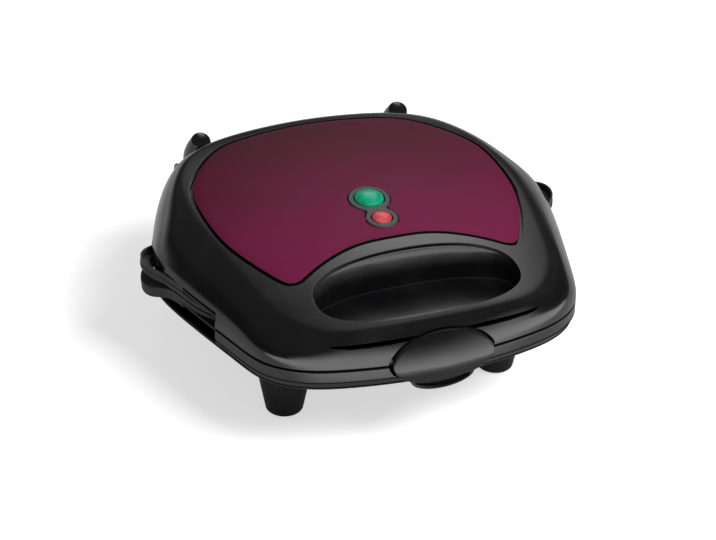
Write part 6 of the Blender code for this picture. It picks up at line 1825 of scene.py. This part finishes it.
def plate_clip(half):
    """A clip that slides on the frame, with a tongue over the plate and a keeper under the frame."""
    back, top = PLATE_FRONT - STEP_CLEARANCE, PLATE_GAP + CLEARANCE
    far, middle = FRAME_DEPTH + FRAME_THICK + CLEARANCE, CLIP_MIDDLE
    low, high = (-CLIP_HALF, back - CLIP_BODY), (CLIP_HALF, back)
    body = level_box("clip", half, low, high, top, FRAME_DEPTH - CLEARANCE, FINE_EDGE)
    body = join(body, [
        level_box(
            "tongue", half, (-CLIP_HALF, back - TONGUE_REACH), (CLIP_HALF, back + TONGUE_REACH),
            top, top + TONGUE_THICK, FINE_EDGE / 2,
        ),
        level_box(
            "neck", half, (-CLIP_NECK_HALF, middle - CLIP_NECK_LENGTH / 2),
            (CLIP_NECK_HALF, middle + CLIP_NECK_LENGTH / 2), FRAME_DEPTH - 2 * CLEARANCE, far + CLIP_KEEPER_THICK / 2,
        ),
        level_box(
            "keeper", half, (-CLIP_KEEPER_HALF, middle - CLIP_KEEPER_LENGTH / 2),
            (CLIP_KEEPER_HALF, middle + CLIP_KEEPER_LENGTH / 2), far, far + CLIP_KEEPER_THICK, FINE_EDGE / 2,
        ),
    ])
    grips = []
    for i in range(CLIP_GRIPS):
        y = back - CLIP_BODY + 2 * CLIP_GRIP_WIDTH * (i + 1)
        outline = slot(CLIP_HALF / 2, y, CLIP_GRIP_WIDTH)
        grips.append(level_slab(f"grip_{i}", [outline], half, top - OVERRUN, top + CLIP_GRIP_DEPTH))
    piece(carve(body, grips), f"{half}_slide_clip", HEATPROOF, f"{half}_clip", [f"{half}_plate_clip"], flat=True)


def cross_screw(head, rise, radius, length, head_down):
    """A pan-head screw with a cross recess, its seat at z = 0."""
    profile = [(0.0, rise)]
    for i in range(1, HEAD_STEPS + 1):
        turn = math.pi / 2 * i / HEAD_STEPS
        profile.append((head * math.sin(turn), CLEARANCE + (rise - CLEARANCE) * math.cos(turn) ** HEAD_FULLNESS))
    profile += [(radius, CLEARANCE), (radius, -length), (0.0, -length)]
    arm, wide, low = head * CROSS_share, head * CROSS_WIDTH_share, rise * CROSS_FLOOR_share
    solid = carve(turned("screw", profile, SMALL_TURN), [
        box("cross_a", (-arm, -wide, low), (arm, wide, rise + OVERRUN)),
        box("cross_b", (-wide, -arm, low), (wide, arm, rise + OVERRUN)),
    ])
    if head_down:
        solid.data.transform(Matrix.Rotation(math.pi, 4, "X"))
    return solid


def screws_and_pads():
    """The screws and pads that repeat, one mesh for each kind on each body."""
    for half, body, seed in (("upper", "lid", 8), ("lower", "base", 9)):
        pattern = cross_screw(SCREW_HEAD, SCREW_HEAD_HEIGHT, SCREW_RADIUS, SCREW_LENGTH, half == "upper")
        height = mirrored_height(half, FRAME_DEPTH)
        set_out(pattern, f"{half}_frame_screws", STEEL, seed, body, f"{half}_screw", SCREWS, height)
    length = BASE_FLOOR + FOOT_SCREW_END - FOOT_SCREW_RISE
    pattern = cross_screw(FOOT_SCREW_HEAD, SCREW_HEAD_HEIGHT + CLEARANCE, FOOT_SCREW_RADIUS, length, True)
    set_out(pattern, "foot_screws", STEEL, 3, "base", "foot_screw", FEET, FOOT_SCREW_RISE)
    profile = [(0.0, PAD_THICK), (PAD_RADIUS, PAD_THICK)]
    profile += [(PAD_RADIUS - shrink, rise) for shrink, rise in reversed(FINE_EDGES)]
    for k in range(PAD_RIBS, 0, -1):
        middle = PAD_RADIUS * k / (PAD_RIBS + 1)
        groove = ((PAD_RIB, 0.0), (PAD_RIB / 2, PAD_RIB), (-PAD_RIB / 2, PAD_RIB), (-PAD_RIB, 0.0))
        profile += [(middle + away, height) for away, height in groove]
    profile.append((0.0, 0.0))
    set_out(turned("pad", profile), "foot_pads", RUBBER, 5, "base", "foot_pad", FEET, 0.0)


def hinge_pins():
    span = KNUCKLE_WIDTH / 2 + CHEEK_GAP + CHEEK_THICK + CLEARANCE
    for side, x in both_sides(HINGE_SPREAD):
        profile = [(0.0, span + PIN_HEAD_THICK)]
        profile += [(PIN_HEAD_RADIUS - shrink, span + PIN_HEAD_THICK - rise) for shrink, rise in FINE_EDGES]
        profile += [(PIN_HEAD_RADIUS, span), (HINGE_PIN_RADIUS, span), (HINGE_PIN_RADIUS, -span), (0.0, -span)]
        place = Matrix.Translation((x, HINGE_Y, HINGE_HEIGHT))
        place = place @ Matrix.Rotation(math.copysign(math.pi / 2, x), 4, "Y")
        piece(turned("pin", profile, SMALL_TURN, place), f"lid_pin_{side}", STEEL, "base", [f"hinge_pin_{side}"])


def cord_bush():
    neck = 2 * WALL
    profile = [(CORD_BORE, CORD_FLANGE_THICK)]
    profile += [(CORD_FLANGE - shrink, CORD_FLANGE_THICK - rise) for shrink, rise in EDGES]
    profile += [(CORD_FLANGE, 0.0), (CORD_NECK, 0.0), (CORD_NECK, -neck), (CORD_BORE, -neck)]
    place = Matrix.Translation((0.0, REAR_REACH + CLEARANCE, CORD_HEIGHT)) @ Matrix.Rotation(-math.pi / 2, 4, "X")
    piece(turned("bush", profile, ROUND_TURN, place), "cord_bush", RUBBER, "base", ["cord_inlet"])


def latch_coil():
    """The latch's torsion coil, swept along a screw line."""
    length = LATCH_CHEEK_INNER - LATCH_BARREL_HALF - 2 * CLEARANCE - 2 * SPRING_WIRE
    place = Matrix.Translation((LATCH_BARREL_HALF + CLEARANCE + SPRING_WIRE, LATCH_PIVOT_Y, LATCH_PIVOT_Z))
    place = place @ Matrix.Rotation(math.pi / 2, 4, "Y")
    coil = coiled(SPRING_TURNS, SPRING_RADIUS, SPRING_WIRE, length, place, STEEL)
    piece(coil, "latch_coil", STEEL, "lid", ["latch_spring"])


def kept_nodes():
    """The CAD's own nodes that stay, with their detailed finishes."""
    kept = (
        (SHEET, ("lower_reflector", "upper_reflector")),
        (SHEATH, ("lower_heating_element", "upper_heating_element")),
        (CERAMIC, (
            "terminal_block", "thermal_fuse", "thermostat", "lower_saddle_left", "lower_saddle_right",
            "upper_saddle_left", "upper_saddle_right",
        )),
        (HEATPROOF, ("lamp_holder",)),
        (LAMP, ("green_lamp", "red_lamp")),
        (STEEL, ("latch_pin",)),
    )
    for finish, names in kept:
        for name in names:
            for slot in frame["nodes"][name].material_slots:
                slot.material = finish.material


CAMERA_AZIMUTH = -21.998
CAMERA_ELEVATION = 31.26
CAMERA_ROLL = 1.399
CAMERA_DISTANCE = 1.23668
CAMERA_TARGET = (-0.000495, -0.003059, 0.048672)
FOCAL_PIXELS = 2051.08
PICTURE_WIDTH = 716
SENSOR_WIDTH = 36.0


def camera():
    azimuth, elevation = math.radians(CAMERA_AZIMUTH), math.radians(CAMERA_ELEVATION)
    back = Vector((
        math.sin(azimuth) * math.cos(elevation), -math.cos(azimuth) * math.cos(elevation), math.sin(elevation),
    ))
    place = SHIFT @ Vector(CAMERA_TARGET) + back * CAMERA_DISTANCE
    right = (-back).cross(Vector((0.0, 0.0, 1.0))).normalized()
    upward = right.cross(-back)
    roll = math.radians(CAMERA_ROLL)
    across = right * math.cos(roll) + upward * math.sin(roll)
    upright = upward * math.cos(roll) - right * math.sin(roll)
    data = bpy.data.cameras.new("camera")
    data.sensor_width = SENSOR_WIDTH
    data.lens = FOCAL_PIXELS * SENSOR_WIDTH / PICTURE_WIDTH
    obj = linked("camera", data)
    obj.matrix_world = Matrix.Translation(place) @ Matrix((across, upright, back)).transposed().to_4x4()
    bpy.context.scene.camera = obj


def softbox(name, place, aim, width, height, power):
    """A rectangular area lamp that looks at a point."""
    data = bpy.data.lights.new(name, "AREA")
    data.shape = "RECTANGLE"
    data.size, data.size_y = width, height
    data.energy = power
    obj = linked(name, data)
    obj.location = place
    obj.rotation_euler = (Vector(aim) - Vector(place)).to_track_quat("-Z", "Y").to_euler()
    obj.visible_glossy = False


def rays(tree):
    """Camera, glossy and transmission rays, as Light Path tells them apart."""
    seen = tree.nodes.new("ShaderNodeLightPath").outputs
    return [Wire(tree, seen[f"Is {kind} Ray"]) for kind in ("Camera", "Glossy", "Transmission")]


def blank(tree, kind):
    """The tree emptied, and its new output's surface socket."""
    tree.nodes.clear()
    return tree.nodes.new(f"ShaderNodeOutput{kind}").inputs["Surface"]


def white_world():
    """The camera sees white, and glossy pieces see a dark studio with one soft window and a bright horizon."""
    scene = bpy.context.scene
    scene.view_settings.view_transform = "Standard"
    scene.world = bpy.data.worlds.new("studio")
    scene.world.use_nodes = True
    tree = scene.world.node_tree
    surface = blank(tree, "World")
    start = Wire(tree, tree.nodes.new("ShaderNodeTexCoord").outputs["Generated"])
    camera_ray, glossy, clear = rays(tree)
    across, ahead, upward = (start.axis(name) for name in "XYZ")
    soft = across.between(*WINDOW_LEFT) * (1.0 - across.between(*WINDOW_RIGHT)) * ahead.between(*WINDOW_NEAR)
    soft = soft * upward.between(*WINDOW_LOW) * (1.0 - WINDOW_FADE * upward.between(*WINDOW_HIGH))
    low = 1.0 - upward.between(*HORIZON_TOP)
    before, behind = (0.0 - ahead).between(*HORIZON_SPREAD), ahead.between(*HORIZON_SPREAD)
    studio = STUDIO_DARK + STUDIO_HAZE * upward.between(*HAZE_LOW) + WINDOW * soft
    studio = studio + low * (HORIZON_FRONT * before + HORIZON_BACK * behind)
    shown = (camera_ray + clear).clamped()
    level = (studio * glossy + FILL * (1.0 - glossy)) * (1.0 - shown) + shown
    sky = start.node("ShaderNodeBackground", None, {"Color": WHITE, "Strength": level})
    tree.links.new(sky.socket, surface)


def white_floor():
    """A pale floor that keeps the object's shadow; mirrored, it shows a painted shadow near the object and is bright in
    front.
    """
    floor = box("floor", (-FLOOR_SIZE, -FLOOR_SIZE, -FLOOR_THICK), (FLOOR_SIZE, FLOOR_SIZE, 0.0))
    material = bpy.data.materials.new("floor")
    material.use_nodes = True
    tree = material.node_tree
    surface = blank(tree, "Material")
    camera_ray, glossy, _ = rays(tree)
    place = Wire(tree, tree.nodes.new("ShaderNodeTexCoord").outputs["Object"])
    paper = place.noise(900.0, 2.0).tint((0.78, 0.78, 0.785), (0.8, 0.8, 0.805))
    shade = place.node("ShaderNodeBsdfDiffuse", None, {"Color": paper})
    glow = place.node("ShaderNodeEmission", None, {"Color": WHITE, "Strength": FLOOR_GLOW * camera_ray})
    both = place.node("ShaderNodeAddShader", None, {0: shade, 1: glow})
    across, along = place.axis("X"), place.axis("Y")
    reach = (across * across + along * along) ** 0.5
    ahead = 0.0 - along
    front = ahead.between(*FLOOR_FRONT_START) * (1.0 - FLOOR_FRONT_FADE * ahead.between(*FLOOR_FRONT_END))
    # Mirrored, the floor is an emission: a painted shadow at the low level near the object, brighter beyond its edge
    # and in front.
    level = FLOOR_PAINTED_SHADOW_LEVEL + FLOOR_FAR * reach.between(*FLOOR_PAINTED_SHADOW_EDGE) + FLOOR_FRONT * front
    mirrored = place.node("ShaderNodeEmission", None, {"Color": MIRROR_TINT, "Strength": level})
    mixed = place.node("ShaderNodeMixShader", None, {0: MIRROR_share * glossy, 1: both, 2: mirrored})
    tree.links.new(mixed.socket, surface)
    floor.data.materials.append(material)


WHITE = (1.0, 1.0, 1.0, 1.0)
KEY_PLACE = (0.5, -0.85, 1.2)
KEY_AIM = (0.0, 0.0, 0.05)
KEY_SIZE = (0.8, 0.6)
KEY_POWER = 26.0
STUDIO_DARK = 0.03
STUDIO_HAZE = 0.04
HAZE_LOW = (0.2, 0.5)
WINDOW = 1.15
WINDOW_FADE = 0.68
WINDOW_LEFT = (0.03, 0.28)
WINDOW_RIGHT = (0.42, 0.62)
WINDOW_NEAR = (0.1, 0.35)
WINDOW_LOW = (0.3, 0.58)
WINDOW_HIGH = (0.72, 0.86)
HORIZON_FRONT = 1.35
HORIZON_BACK = 0.5
HORIZON_SPREAD = (0.55, 0.8)
HORIZON_TOP = (-0.03, 0.3)
FILL = 0.18
FLOOR_SIZE = 6.0
FLOOR_THICK = 0.02
FLOOR_GLOW = 0.62
# Mirrored floor: its level within the painted shadow round the object, the rise beyond it, and the distances where the
# painted shadow ends.
FLOOR_PAINTED_SHADOW_LEVEL = 0.1
FLOOR_FAR = 0.25
FLOOR_PAINTED_SHADOW_EDGE = (0.15, 0.22)
FLOOR_FRONT = 1.5
FLOOR_FRONT_START = (0.17, 0.24)
FLOOR_FRONT_END = (0.3, 0.6)
FLOOR_FRONT_FADE = 0.1
MIRROR_share = 0.85
MIRROR_TINT = (1.0, 0.985, 0.99, 1.0)

camera()
upper_casing()
lower_casing()
trim_plate()
lamp_bezel()
lens("green", GREEN_BACK, GREEN_RADIUS, GREEN)
lens("red", RED_BACK, RED_RADIUS, RED)
latch()
for name, x, y in FEET:
    foot(name, x, y)
for half, body in (("upper", "lid"), ("lower", "base")):
    cooking_plate(half, body)
    plate_frame(half, body)
    plate_clip(half)
screws_and_pads()
hinge_pins()
cord_bush()
latch_coil()
kept_nodes()
softbox("key_light", KEY_PLACE, KEY_AIM, *KEY_SIZE, KEY_POWER)
white_world()
white_floor()
